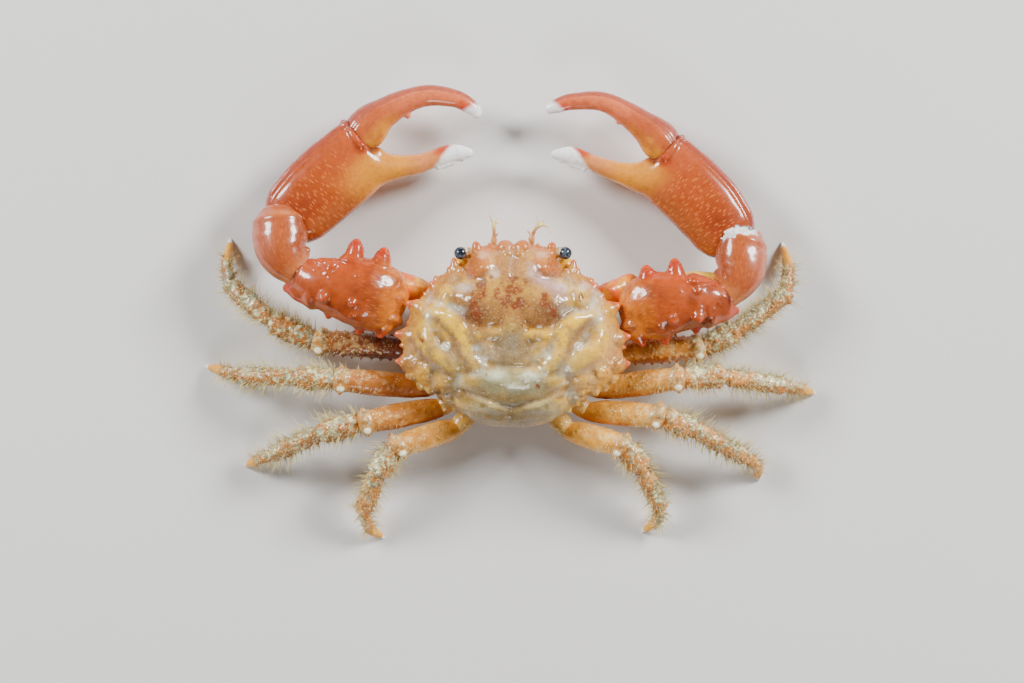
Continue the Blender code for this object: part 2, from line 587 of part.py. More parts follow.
for existing in list(bpy.data.objects):
    bpy.data.objects.remove(existing)
CRAB = bpy.data.collections.new("ridged_clinging_crab")
bpy.context.scene.collection.children.link(CRAB)
numbers = random.Random(7)
roots = [build_leg(leg, numbers) for leg in LEGS]
roots += [build_arm(side) for side in ARMS]
cuts = [cutter for side in EYES for cutter in build_eye(side)]
for side in ANTENNAE:
    build_feelers(side)
build_body(roots, cuts)
for node in CRAB.objects:
    node.data.shade_smooth()
    node.data.set_sharp_from_angle(angle=math.radians(50))
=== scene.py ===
"""A ridged clinging crab at life size, for Blender 4.5: shell, claws, bristly legs, eyes and feelers.

Lengths in the tables are millimetres: +X is the animal's right, +Y its front, +Z up, the floor is z = 0.
"""

import itertools
import math

import bpy
import numpy as np
from bpy.props import FloatProperty, FloatVectorProperty, IntProperty, PointerProperty
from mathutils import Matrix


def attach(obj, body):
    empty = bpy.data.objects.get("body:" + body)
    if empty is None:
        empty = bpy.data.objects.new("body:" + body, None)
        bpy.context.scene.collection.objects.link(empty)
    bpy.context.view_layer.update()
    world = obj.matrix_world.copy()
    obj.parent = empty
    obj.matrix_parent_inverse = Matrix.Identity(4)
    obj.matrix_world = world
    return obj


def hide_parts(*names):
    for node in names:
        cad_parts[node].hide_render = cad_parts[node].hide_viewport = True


bl_info = {
    "name": "Ridged Clinging Crab",
    "version": (1, 0, 0),
    "blender": (4, 5, 0),
    "location": "View3D > Sidebar > Crab",
    "description": "Builds a ridged clinging crab at life size, with its bristles and a plain stage",
    "category": "Add Mesh",
}

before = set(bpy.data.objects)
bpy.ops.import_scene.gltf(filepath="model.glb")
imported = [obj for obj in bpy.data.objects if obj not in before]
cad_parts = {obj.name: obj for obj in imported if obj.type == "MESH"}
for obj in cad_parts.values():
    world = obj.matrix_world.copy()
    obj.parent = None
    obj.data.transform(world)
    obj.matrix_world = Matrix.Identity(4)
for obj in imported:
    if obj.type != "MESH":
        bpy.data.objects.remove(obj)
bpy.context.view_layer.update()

MM = 0.001
UP = np.array((0.0, 0.0, 1.0))
# Brings the middle of the whole crab over the origin
SHIFT = np.array((0.2, 0.28, 0.0))
WAY = {"left": -1, "right": 1}
# Rings along each part of a limb; the rows that the claws and feelers name count these
LIMB_ROWS = 64
# How many points are compared with a limb's rings at a time, to save memory
BLOCK = 20000
# How bright a white surface shows under the stage's lamps
LAMP_LIGHT = 2.0
# Turns the cells of the noise off the axes, so that no grid shows
NOISE_TURN = np.array(((0.36, 0.48, -0.8), (-0.8, 0.6, 0.0), (0.48, 0.64, 0.6)))

# Carapace: centre of its outline, turn about Z, heights of the crown and the edge, rise of the edge to
# the front, points in each ring
SHELL_CENTRE = np.array((0.05, -2.5, 0.0))
SHELL_TURN = math.radians(-0.6)
SHELL_CROWN = 12.9
SHELL_EDGE = 8.6
SHELL_EDGE_RISE = 0.5
SHELL_COLUMNS = 300
# Distance from the centre to the edge at each angle from the front, in degrees
SHELL_OUTLINE = (
    (0, 10.7), (19, 11.2), (24, 11.5), (29, 10.6), (36, 9.9), (43, 10.7), (52, 11.2), (59, 11.5),
    (66, 11.7), (74, 12.3), (90, 12.9), (103, 13.4), (112, 13.3), (123, 12.0), (129, 11.3),
    (140, 11.2), (157, 11.3), (180, 10.9),
)
# Rings that close the shell under its edge: share of the reach, how far under the edge
SHELL_RIM = ((1.005, 0.15), (0.995, 0.4), (0.965, 0.9), (0.93, 1.5), (0.89, 2.2), (0.85, 3.0), (0.8, 3.6))
# Teeth of the edge: tip out and forward, height over the edge, length, root radius, tip radius, heading
EDGE_TEETH = (
    (2.85, 11.0, 0.1, 1.2, 0.42, 0.26, 0), (4.55, 11.2, 0.35, 1.7, 0.62, 0.46, 4),
    (7.2, 9.2, -0.1, 2.0, 0.65, 0.32, 8), (7.8, 8.1, 0.0, 1.3, 0.62, 0.34, 25),
    (8.8, 7.1, 0.1, 1.0, 0.45, 0.22, 45), (10.0, 6.3, 0.1, 2.3, 1.1, 0.38, 45),
    (10.85, 5.0, 0.1, 1.1, 0.45, 0.24, 60), (12.75, 3.85, 0.2, 2.8, 1.4, 0.44, 62),
    (11.5, 4.15, 0.45, 1.3, 0.45, 0.22, 50), (12.75, 1.4, 0.0, 1.0, 0.45, 0.22, 85),
    (14.1, 0.1, 0.15, 2.9, 1.4, 0.36, 80), (13.5, -1.3, 0.1, 1.0, 0.45, 0.22, 90),
    (14.1, -3.2, 0.15, 2.6, 1.35, 0.34, 88), (13.2, -4.2, 0.0, 1.0, 0.45, 0.22, 100),
)
# Where small beads stand on the edge, in degrees from the front
EDGE_BEADS = (107, 112, 118, 123, 130, 136, 143)
# Rounded knobs of the back on each side: out, forward, radius, how far the middle lies under the surface
BACK_KNOBS = (
    (1.0, 10.3, 1.08, 0.5), (0.7, 9.6, 0.6, 0.25), (6.3, 7.6, 0.55, 0.25), (6.9, 7.7, 0.45, 0.25),
    (11.9, -5.0, 0.55, 0.25), (9.7, -6.6, 0.65, 0.3), (7.4, -7.5, 0.75, 0.4), (12.6, -3.9, 0.5, 0.25),
    (8.5, -7.3, 0.5, 0.25), (8.0, -6.7, 0.55, 0.3), (9.2, 6.6, 0.45, 0.25), (3.9, 8.1, 0.16, 0.08),
    (4.6, 7.3, 0.16, 0.08), (5.65, 7.15, 0.2, 0.08), (10.9, -6.2, 0.55, 0.3), (11.4, -3.4, 0.6, 0.4),
)
# Swellings of the back: out, forward, half width, half length, turn in degrees, rise, steepness
DOMES = (
    (3.3, 3.6, 3.7, 2.7, 16, 0.95, 3), (5.2, 5.2, 2.0, 1.5, 10, 0.35, 2),
    (0.0, 5.4, 1.3, 2.0, 0, 0.2, 2), (0.0, -0.9, 1.8, 2.7, 0, 0.35, 3),
    (4.0, 8.8, 2.0, 2.2, -10, 0.9, 3), (8.35, 5.3, 1.5, 1.5, 20, 0.7, 3),
    (0.0, -5.7, 4.6, 1.7, 0, 0.5, 3), (1.9, -4.9, 1.3, 0.8, 0, 0.25, 2),
    (0.0, -6.2, 1.3, 0.9, 0, 0.15, 2), (4.6, -5.4, 1.6, 1.0, -15, 0.45, 2),
    (3.5, -8.4, 3.0, 1.0, 18, 0.45, 3), (10.75, -4.85, 1.2, 1.3, 0, 1.0, 3),
    (8.5, -5.6, 1.3, 1.0, -20, 0.75, 3), (12.2, 2.4, 1.2, 1.4, 0, 0.4, 2),
    (12.6, 0.0, 1.2, 1.0, 0, 0.4, 2), (12.6, -3.0, 1.2, 1.0, 0, 0.4, 2),
    (11.2, 4.0, 1.1, 1.1, 0, 0.4, 2), (6.7, 7.7, 1.0, 0.9, 0, 0.4, 2),
    (1.0, 8.3, 0.9, 1.2, 0, 0.2, 2),
)
# Long folds of the back: half width, rise, then points out and forward
RIDGES = (
    (1.5, 0.85, ((9.7, 2.7), (8.2, 2.2), (7.0, 1.2), (6.2, 0.0), (5.6, -1.2), (4.9, -2.5), (4.3, -3.5))),
    (1.6, 0.85, ((11.7, 1.4), (11.2, -0.2), (10.2, -1.5), (9.0, -2.6), (7.6, -3.5), (6.7, -4.0))),
    (0.65, 0.35, ((4.7, 0.5), (3.4, 0.2), (2.2, 0.0))),
    (0.85, 0.4, ((4.1, -0.6), (3.4, -1.5), (2.4, -2.3), (1.2, -2.9), (0.0, -3.1))),
    (0.7, 0.3, ((7.4, -8.2), (6.0, -9.2), (3.8, -10.0), (0.0, -10.4))),
)
# Grooves of the back: half width, depth, share of pale deposit, then points out and forward
GROOVES = (
    (0.5, 0.3, 0.05, ((7.4, 4.6), (7.2, 3.7), (6.3, 2.6), (5.3, 1.8), (4.9, 0.6), (4.6, -0.7), (4.0, -1.8))),
    (0.6, 0.22, 0.5, ((4.2, -1.6), (3.3, -2.7), (2.8, -3.3))),
    (0.35, 0.16, 0.1, ((2.8, -3.3), (2.2, -3.65), (1.2, -3.8), (0.0, -3.8))),
    (0.4, 0.22, 0.0, ((5.4, 2.1), (4.4, 1.05), (3.2, 0.75), (2.2, 0.95), (1.6, 1.5))),
    (0.6, 0.2, 0.0, ((1.6, 1.5), (0.9, 2.6), (0.4, 3.6))),
    (0.5, 0.28, 0.5, ((6.2, 3.0), (7.3, 3.4), (8.4, 3.4), (9.2, 3.6), (10.0, 4.1), (10.2, 5.2))),
    (0.5, 0.22, 0.3, ((10.2, 4.6), (10.3, 2.8), (9.8, 1.3), (9.0, 0.1), (8.4, -0.9))),
    (0.5, 0.14, 0.1, ((8.4, -0.9), (7.4, -2.0), (6.4, -3.0), (5.6, -3.9))),
    (0.4, 0.2, 0.4, ((4.2, -2.4), (3.4, -3.3), (3.5, -4.2), (4.2, -4.75), (5.2, -4.6))),
    (0.6, 0.36, 0.1, ((12.4, -1.5), (11.4, -2.7), (10.2, -3.6), (8.9, -4.4), (7.5, -4.85), (6.4, -4.9))),
    (0.6, 0.25, 0.35, ((6.0, -3.9), (6.3, -4.8), (6.4, -6.0), (6.9, -6.9))),
    (0.38, 0.32, 0.1, ((6.0, -6.3), (4.6, -7.0), (3.2, -7.6), (1.8, -8.15), (0.5, -8.6), (0.0, -8.7))),
    (0.45, 0.25, 0.1, ((7.0, -8.0), (6.0, -9.0), (4.2, -9.45), (2.4, -9.6), (0.0, -9.6))),
    (0.4, 0.35, 0.1, ((0.0, 10.8), (0.0, 8.8), (0.0, 7.2))),
    (0.6, 0.24, 0.1, ((2.1, 10.4), (2.1, 8.8), (2.6, 7.6), (3.6, 6.9), (5.0, 6.7), (6.0, 7.0))),
    (0.4, 0.3, 0.3, ((6.3, 6.9), (6.9, 6.0), (7.2, 5.2))),
    (0.4, 0.3, 0.2, ((9.6, -5.9), (9.6, -4.6))),
    (0.4, 0.16, 0.0, ((1.7, -2.4), (2.0, -0.8), (1.8, 0.7))),
)
# Brown-red blotches of the back: out to either side, forward, radius
BLOTCHES = (
    (-4.9, 3.5, 1.0), (-4.3, 2.5, 1.1), (-4.1, 4.6, 0.9), (-3.7, 6.2, 0.9), (-0.7, 5.7, 1.3),
    (0.0, 6.6, 0.9), (-0.8, 4.2, 1.1), (-1.8, 5.2, 0.7), (0.2, 3.5, 0.9), (0.6, 5.4, 1.2),
    (0.7, 3.8, 1.2), (3.8, 4.5, 0.9), (3.95, 3.5, 1.1), (4.7, 2.7, 0.9), (1.8, 0.65, 0.35),
    (1.1, 1.1, 0.35), (0.0, 0.45, 0.3), (-3.2, -4.7, 0.3), (2.9, -6.1, 0.5), (-10.8, -0.6, 0.35),
    (-2.6, 6.9, 0.4), (1.5, 6.4, 0.4), (-5.4, 4.4, 0.35), (8.1, 4.5, 0.6), (3.2, 2.2, 0.4),
)
# Pale encrusting discs on the back: out, forward, radius
DISCS = ((-7.95, -1.3, 0.58), (7.75, -1.35, 0.56))
# Floor of each orbit: out, forward, height, radius
ORBIT_FLOOR = (6.15, 8.35, 7.35, 1.15)

# Underside: points in each ring, outline like the shell's, share of the reach and height of each ring,
# ends of the grooves
THORAX_COLUMNS = 160
THORAX_OUTLINE = ((0, 10.6), (45, 10.9), (90, 12.0), (135, 11.4), (180, 11.2))
THORAX_RINGS = ((0.3, 7.2), (0.6, 7.0), (0.76, 6.4), (0.82, 5.7), (0.8, 4.4), (0.66, 3.4), (0.5, 3.1),
                (0.3, 2.95), (0.05, 2.9))
THORAX_GROOVES = (((2.0, 3.6), (8.5, 4.6)), ((2.2, 1.0), (9.6, 0.6)), ((2.4, -2.0), (9.6, -3.2)),
                  ((2.4, -4.6), (8.6, -6.4)), ((2.2, -6.8), (6.4, -9.2)))

# Walking legs, front to back: root, ends of coxa, merus, carpus and propodus, middle and tip of dactyl
LEGS = {
    "left_leg_1": ((-8.4, -3.6, 4.3), (-12.3, -4.1, 4.4), (-23.7, -3.2, 5.3), (-28.8, -0.9, 5.3),
                   (-34.1, 3.6, 3.4), (-34.5, 6.4, 1.9), (-34.2, 9.2, 0.0)),
    "left_leg_2": ((-7.2, -7.0, 4.3), (-10.3, -8.8, 4.4), (-21.1, -7.8, 7.2), (-25.8, -7.5, 6.3),
                   (-32.6, -7.4, 3.2), (-35.0, -6.8, 1.8), (-37.2, -6.2, 0.0)),
    "left_leg_3": ((-5.6, -9.2, 4.3), (-8.8, -11.2, 4.4), (-18.1, -13.0, 7.4), (-22.8, -14.1, 6.4),
                   (-29.0, -16.8, 3.2), (-30.8, -17.6, 1.7), (-32.4, -18.3, 0.0)),
    "left_leg_4": ((-3.6, -10.6, 4.4), (-6.8, -13.6, 4.6), (-14.1, -15.9, 7.0), (-16.1, -18.8, 6.0),
                   (-18.0, -23.6, 3.0), (-17.3, -25.8, 1.6), (-15.6, -27.1, 0.0)),
    "right_leg_1": ((8.4, -3.6, 4.3), (12.7, -4.6, 4.4), (22.8, -3.9, 5.2), (26.8, -2.0, 5.2),
                    (33.0, 2.5, 3.4), (33.3, 5.9, 1.9), (32.7, 8.8, 0.0)),
    "right_leg_2": ((7.2, -7.0, 4.3), (10.3, -9.0, 4.4), (20.3, -7.6, 7.2), (25.1, -7.4, 6.3),
                    (32.8, -8.6, 3.2), (34.7, -9.0, 1.9), (36.7, -9.5, 0.0)),
    "right_leg_3": ((5.6, -9.2, 4.3), (9.0, -11.6, 4.4), (17.9, -12.2, 7.4), (21.5, -13.7, 6.4),
                    (28.2, -17.2, 3.2), (29.6, -18.3, 1.6), (29.8, -20.1, 0.0)),
    "right_leg_4": ((3.6, -10.6, 4.4), (6.7, -13.9, 4.6), (13.4, -15.8, 7.0), (15.4, -18.2, 6.0),
                    (17.8, -23.1, 3.0), (17.4, -25.0, 1.5), (15.7, -26.3, 0.0)),
}
LEG_PARTS = ("coxa", "merus", "carpus", "propodus", "dactyl")
LEG_HALF_WIDTH = {"coxa": 1.2, "merus": 1.55, "carpus": 1.38, "propodus": 1.1, "dactyl": 0.76}
# Share of the length, then shares of LEG_HALF_WIDTH: half width, and half height if it differs
LEG_PROFILE = {
    "coxa": ((0.0, 0.8), (0.5, 0.95), (0.85, 1.0), (1.0, 0.9)),
    "merus": ((0.0, 0.72, 0.72), (0.1, 0.85, 0.86), (0.22, 0.94, 0.96), (0.55, 1.0, 1.02),
              (0.78, 0.94, 0.98), (0.88, 0.88, 0.92), (0.93, 1.03, 1.06), (0.98, 1.0, 1.02),
              (1.0, 0.9, 0.92)),
    "carpus": ((0.0, 0.72, 0.72), (0.1, 0.8, 0.82), (0.25, 0.95, 0.98), (0.7, 1.05, 1.05),
               (0.93, 0.98, 1.0), (1.0, 0.86, 0.88)),
    "propodus": ((0.0, 0.74, 0.78), (0.12, 0.9, 0.92), (0.25, 0.98, 1.0), (0.75, 1.0, 1.0),
                 (0.93, 0.94, 0.94), (1.0, 0.8, 0.82)),
    "dactyl": ((0.0, 0.8, 0.82), (0.15, 1.0, 1.02), (0.4, 0.95, 1.0), (0.6, 0.84, 0.88), (0.8, 0.62, 0.66),
               (0.93, 0.38, 0.4), (1.0, 0.2, 0.2)),
}
# How pale each pair of legs is, front to back
LEG_PALENESS = {"1": 0.0, "2": 0.15, "3": 0.35, "4": 0.75}
# How thickly the bristles of each part stand
LEG_HAIR = {"carpus": 1.0, "propodus": 1.15, "dactyl": 1.1, "merus": 0.12}
# How far each part's near end reaches back into the part before it
TUCK = {"coxa": 0.0, "merus": 0.5, "carpus": 0.55, "propodus": 0.5, "dactyl": 0.45}

# Claw limbs: points along the middle of each part, from the body to the tips; the teeth of the merus as
# tip and radius; the one round tooth inside the moving finger
ARMS = {
    "left": {
        "ischium": ((-8.6, 1.1, 4.8), (-11.1, 2.6, 5.4), (-13.9, 3.5, 6.7)),
        "merus": ((-13.2, 0.9, 6.9), (-17.0, 2.3, 8.2), (-22.4, 3.6, 8.0), (-25.3, 4.9, 7.4)),
        "carpus": ((-25.55, 5.05, 7.3), (-27.5, 7.4, 7.0), (-27.9, 10.0, 6.6), (-28.1, 12.5, 6.2)),
        "palm": ((-27.9, 10.3, 5.4), (-22.9, 15.3, 4.9), (-17.6, 19.8, 4.6)),
        "fixed_finger": ((-19.0, 17.4, 4.5), (-15.3, 17.6, 4.4), (-11.6, 18.1, 4.2), (-7.9, 19.3, 4.0),
                         (-6.6, 19.5, 4.0), (-5.1, 19.5, 4.0)),
        "dactyl": ((-18.45, 21.3, 4.8), (-15.6, 24.1, 4.8), (-11.1, 26.2, 4.6), (-7.1, 26.0, 4.4),
                   (-5.1, 25.0, 4.3), (-4.2, 24.2, 4.2)),
        "teeth": ((-18.5, 9.0, 8.6, 0.8), (-15.1, 8.0, 8.6, 0.95), (-16.0, -2.8, 7.8, 0.75),
                  (-18.5, -2.4, 7.8, 0.75), (-22.1, -0.6, 7.8, 0.65), (-25.5, 1.4, 7.6, 0.6),
                  (-27.0, 3.0, 7.4, 0.6), (-19.1, 1.1, 11.5, 0.5), (-22.7, 1.6, 11.2, 0.45)),
        "bite": (-12.6, 23.95, 4.6),
    },
    "right": {
        "ischium": ((8.6, 1.1, 4.8), (11.2, 2.1, 5.4), (14.3, 3.2, 6.7)),
        "merus": ((13.4, -0.4, 6.9), (17.0, 1.0, 8.2), (22.4, 1.7, 8.0), (25.2, 2.3, 7.4)),
        "carpus": ((25.5, 2.4, 7.3), (27.2, 5.0, 7.0), (27.4, 7.7, 6.6), (28.0, 10.0, 6.2)),
        "palm": ((26.9, 8.0, 5.4), (23.1, 13.3, 4.9), (17.7, 18.4, 4.6)),
        "fixed_finger": ((18.4, 16.1, 4.5), (14.8, 16.6, 4.4), (11.6, 17.5, 4.2), (7.9, 19.0, 4.0),
                         (6.3, 19.3, 4.0), (5.0, 19.3, 4.0)),
        "dactyl": ((18.5, 19.9, 4.8), (16.1, 22.4, 4.8), (11.4, 25.4, 4.6), (7.4, 25.6, 4.4),
                   (5.4, 25.1, 4.3), (4.4, 24.7, 4.2)),
        "teeth": ((19.3, 6.7, 8.6, 0.85), (15.8, 5.9, 8.6, 1.0), (15.7, -3.8, 7.8, 0.75),
                  (18.4, -3.7, 7.8, 0.75), (22.0, -2.3, 7.8, 0.65), (24.4, -1.0, 7.6, 0.6),
                  (26.2, 0.5, 7.4, 0.6), (19.1, -1.2, 11.2, 0.5), (22.3, -0.9, 11.0, 0.45)),
        "bite": (12.8, 23.25, 4.6),
    },
}
ARM_SCALE = {"left": 1.0, "right": 0.94}
# Share of the length, half width, half height
ARM_PROFILE = {
    "ischium": ((0.0, 1.3, 1.2), (0.5, 1.65, 1.45), (1.0, 1.8, 1.6)),
    "merus": ((0.0, 2.0, 1.1), (0.06, 3.1, 1.8), (0.17, 4.0, 2.5), (0.36, 4.4, 3.0), (0.56, 3.85, 3.0),
              (0.76, 3.1, 2.7), (0.92, 2.6, 2.4), (1.0, 2.25, 2.1)),
    "carpus": ((0.0, 1.95, 1.9), (0.18, 2.6, 2.4), (0.4, 3.15, 2.8), (0.62, 3.35, 2.8), (0.82, 3.1, 2.6),
               (0.93, 2.6, 2.3), (1.0, 2.1, 1.9)),
    "palm": ((0.0, 2.4, 1.4), (0.06, 3.5, 1.9), (0.17, 4.25, 2.3), (0.42, 4.7, 2.6), (0.7, 4.7, 2.6),
             (0.92, 4.6, 2.4), (1.0, 4.35, 2.2)),
    "fixed_finger": ((0.0, 1.8, 2.2), (0.2, 2.25, 2.2), (0.32, 1.75, 1.8), (0.43, 1.38, 1.4),
                     (0.54, 1.2, 1.15), (0.67, 1.05, 0.95), (0.8, 1.15, 0.9), (0.9, 1.05, 0.85),
                     (0.96, 0.8, 0.65), (1.0, 0.55, 0.45)),
    "dactyl": ((0.0, 2.2, 1.7), (0.05, 2.5, 1.9), (0.12, 2.45, 1.85), (0.25, 1.85, 1.55), (0.4, 1.5, 1.3),
               (0.55, 1.27, 1.1), (0.68, 1.18, 1.0), (0.79, 1.08, 0.9), (0.89, 0.97, 0.8),
               (0.96, 0.86, 0.7), (1.0, 0.62, 0.5)),
}

EYE_RADIUS = 0.78
# Middle of each eye, and the root of its stalk
EYES = {"left": ((-6.2, 7.3, 9.0), (-3.9, 7.4, 8.1)), "right": ((6.3, 7.3, 9.0), (4.0, 7.4, 8.1))}
# Points along each feeler, root to tip
ANTENNAE = {
    "left": ((-2.4, 6.75, 5.9), (-2.35, 8.0, 6.6), (-2.2, 9.2, 7.2), (-2.3, 10.9, 7.6), (-2.9, 12.1, 7.9)),
    "right": ((2.5, 6.75, 5.9), (2.5, 8.0, 6.6), (2.3, 9.2, 7.2), (3.1, 10.6, 7.6), (4.2, 10.5, 7.8),
              (4.7, 9.8, 7.9)),
}
# Share of a feeler's length, radius; then the row where each side hair starts, and how far it reaches
FEELER_RADIUS = ((0.0, 0.34), (0.2, 0.26), (0.3, 0.24), (0.36, 0.4), (0.42, 0.42), (0.48, 0.24), (0.6, 0.2),
                 (0.7, 0.29), (0.74, 0.27), (0.78, 0.13), (1.0, 0.07))
FEELER_HAIRS = ((28, (0.55, 0.75, 0.3)), (46, (0.5, 0.9, 0.3)), (47, (-0.4, 0.8, 0.2)),
                (47, (0.75, 0.3, 0.2)))
# Edge lengths of the meshes that are finer than the shell's
FINE_MESH = 0.08
FINEST_MESH = 0.06

# Stage, in metres
FLOOR_HALF = 1.2
LAMP_SIZE = 0.16
# Place of each lamp, and its share of the main lamp's power
LAMPS = {
    "left_lamp": ((-0.4, 0.24, 0.3), 1.0),
    "right_lamp": ((0.4, 0.26, 0.3), 1.3),
    "back_lamp": ((0.06, -0.5, 0.34), 0.25),
}
SKY_LIGHT = 0.085
LENS = 150.0
SENSOR = 36.0
# Where the camera hangs over the floor: a little off the middle of the crab
CAMERA_OVER = (0.00014, -0.00296)


def shade(red, green, blue):
    """The surface colour that shows as these 0 to 255 values under the stage's lamps."""
    seen = [((c / 255 + 0.055) / 1.055) ** 2.4 for c in (red, green, blue)]
    glow = ((max(seen) + sum(seen) / 3) / 2) ** 2
    bright = [c + 4.5 * c * c * glow for c in seen]
    return tuple(min(0.95, max(0.01, (b - 0.33 * glow * (max(bright) - b)) / LAMP_LIGHT)) for b in bright)


def tone(name, description, default):
    """A colour that the user can change."""
    return FloatVectorProperty(name=name, description=description, default=default, subtype="COLOR",
                               size=3, min=0.0, max=1.0)


def measure(name, description, **limits):
    """A length that the user can change."""
    return FloatProperty(name=name, description=description, subtype="DISTANCE", unit="LENGTH",
                         precision=5, **limits)


class CrabShellSettings(bpy.types.PropertyGroup):
    """Colours and fineness of the hard shell."""

    grain: measure("Mesh Size", "Edge length of the shell's mesh", default=0.00011, min=0.00008,
                   max=0.0004)
    back: tone("Back", "Ochre of the carapace", shade(206, 172, 108))
    groove: tone("Grooves", "Pale grey-blue deposit in the grooves of the carapace", shade(208, 216, 212))
    blotch: tone("Blotches", "Brown-red blotches of the back", shade(164, 80, 46))
    spine: tone("Spines", "Salmon-red of the spines and the front", shade(214, 120, 82))
    claw: tone("Claws", "Burnt orange of the claws", shade(196, 106, 64))
    # Mauve outer rims of the claws, in part a painted sheen along the outer keel
    claw_rim_and_sheen: tone("Claw Rims", "Mauve outer rims of the claws", shade(190, 112, 104))
    claw_light: tone("Claw Crotch", "Ochre where the two fingers of a claw part", shade(220, 170, 104))
    claw_tip: tone("Claw Tips", "White finger tips", shade(242, 244, 236))
    leg: tone("Legs", "Orange of the walking legs", shade(190, 112, 62))
    crust: tone("Crust", "Pale crust of the outer leg parts", shade(190, 182, 148))
    under: tone("Underside", "Pale underside", shade(214, 182, 136))


class CrabBristleSettings(bpy.types.PropertyGroup):
    """Bristles of the walking legs."""

    colour: tone("Colour", "Pale cream of the bristles", shade(216, 206, 166))
    per_area: FloatProperty(name="Density", description="Bristles to a square millimetre of crusty leg",
                            default=5.5, min=0.5, max=16.0)
    longest: measure("Longest", "Length of the longest bristles", default=0.0024, min=0.0005, max=0.004)
    seed: IntProperty(name="Seed", description="Start of the random draws", default=11, min=0, max=999)


class CrabStageSettings(bpy.types.PropertyGroup):
    """Floor, light and camera."""

    floor: tone("Floor", "Plain pale floor", (0.78, 0.77, 0.75))
    power: FloatProperty(name="Light", description="Power of the main lamp", subtype="POWER",
                         unit="POWER", default=4.2, min=0.1, max=20.0)
    distance: measure("Camera Height", "Height of the camera over the floor", default=0.518, min=0.2,
                      max=2.0)


def unit(vectors):
    return vectors / np.maximum(np.linalg.norm(vectors, axis=-1, keepdims=True), 1e-12)


def ramp(value, low, high):
    """0 below low, 1 above high, and a smooth step between."""
    share = np.clip((value - low) / (high - low), 0.0, 1.0)
    return share * share * (3 - 2 * share)


def peak(value, middle, width):
    """1 where a value is the middle one, falling off smoothly over the width on both sides."""
    return np.exp(-(((value - middle) / width) ** 2))


def smooth_line(points, steps=12):
    """Points along a smooth curve through the given ones."""
    given = np.array(points, float)
    ends = np.vstack([2 * given[0] - given[1], given, 2 * given[-1] - given[-2]])
    s = np.arange(steps)[:, None] / steps
    spans = []
    for a, b, c, d in zip(ends, ends[1:], ends[2:], ends[3:]):
        curve = (2 * a - 5 * b + 4 * c - d) * s**2
        spans.append(0.5 * (2 * b + (c - a) * s + curve + (3 * b - a - 3 * c + d) * s**3))
    return np.vstack([*spans, given[-1:]])


def gap_to_line(places, line):
    """Distance from each place to the nearest point of a line of short straight pieces."""
    best = np.full(len(places), np.inf)
    for a, b in zip(line, line[1:]):
        span = b - a
        share = np.clip((places - a) @ span / max(span @ span, 1e-12), 0, 1)
        best = np.minimum(best, np.linalg.norm(places - a - share[:, None] * span, axis=1))
    return best


def cell_number(cells, seed):
    """A random number from 0 to 1 for each whole-numbered cell."""
    c = cells.astype(np.int64)
    n = (c[:, 0] * 73856093) ^ (c[:, 1] * 19349663) ^ (c[:, 2] * 83492791) ^ (seed * 40503 + 977)
    n = ((n ^ (n >> 13)) * 1274126177) & 0x7FFFFFFF
    return ((n ^ (n >> 15)) & 0xFFFFF) / 0xFFFFF


def cloud(points, size, seed, octaves=3):
    """Smooth random values, about -1 to 1, that change over about the given size, with finer ones added."""
    total, weight_sum = np.zeros(len(points)), 0.0
    for octave in range(octaves):
        place = points @ NOISE_TURN / size + 17.3 * octave
        points = points @ NOISE_TURN
        base = np.floor(place)
        part = place - base
        part = part * part * (3 - 2 * part)
        value = np.zeros(len(points))
        for corner in itertools.product((0, 1), repeat=3):
            weight = np.prod(np.where(corner, part, 1 - part), axis=1)
            value += weight * cell_number(base + corner, seed + 31 * octave)
        total += (2 * value - 1) * 0.55**octave
        weight_sum += 0.55**octave
        size *= 0.5
    return 1.35 * total / weight_sum


def grains(points, spacing, seed):
    """Distance to the nearest of many scattered dots, in spacings, and that dot's own random number."""
    place = points / spacing
    base = np.floor(place)
    best, own = np.full(len(points), 9.0), np.zeros(len(points))
    for shift in itertools.product((-1, 0, 1), repeat=3):
        cell = base + shift
        dot = cell + np.stack([cell_number(cell, seed + k) for k in (1, 2, 3)], axis=1)
        gap = ((place - dot) ** 2).sum(axis=1)
        closer = gap < best
        best = np.where(closer, gap, best)
        own = np.where(closer, cell_number(cell, seed + 4), own)
    return np.sqrt(best), own


def beads(points, spacing, size, seed):
    """Round beads scattered over a skin, 0 between them and 1 on top of the largest."""
    gap, own = grains(points, spacing, seed)
    radius = size * (0.45 + 0.55 * own)
    return np.sqrt(np.maximum(0, 1 - (gap / radius) ** 2)) * (0.4 + 0.6 * own)


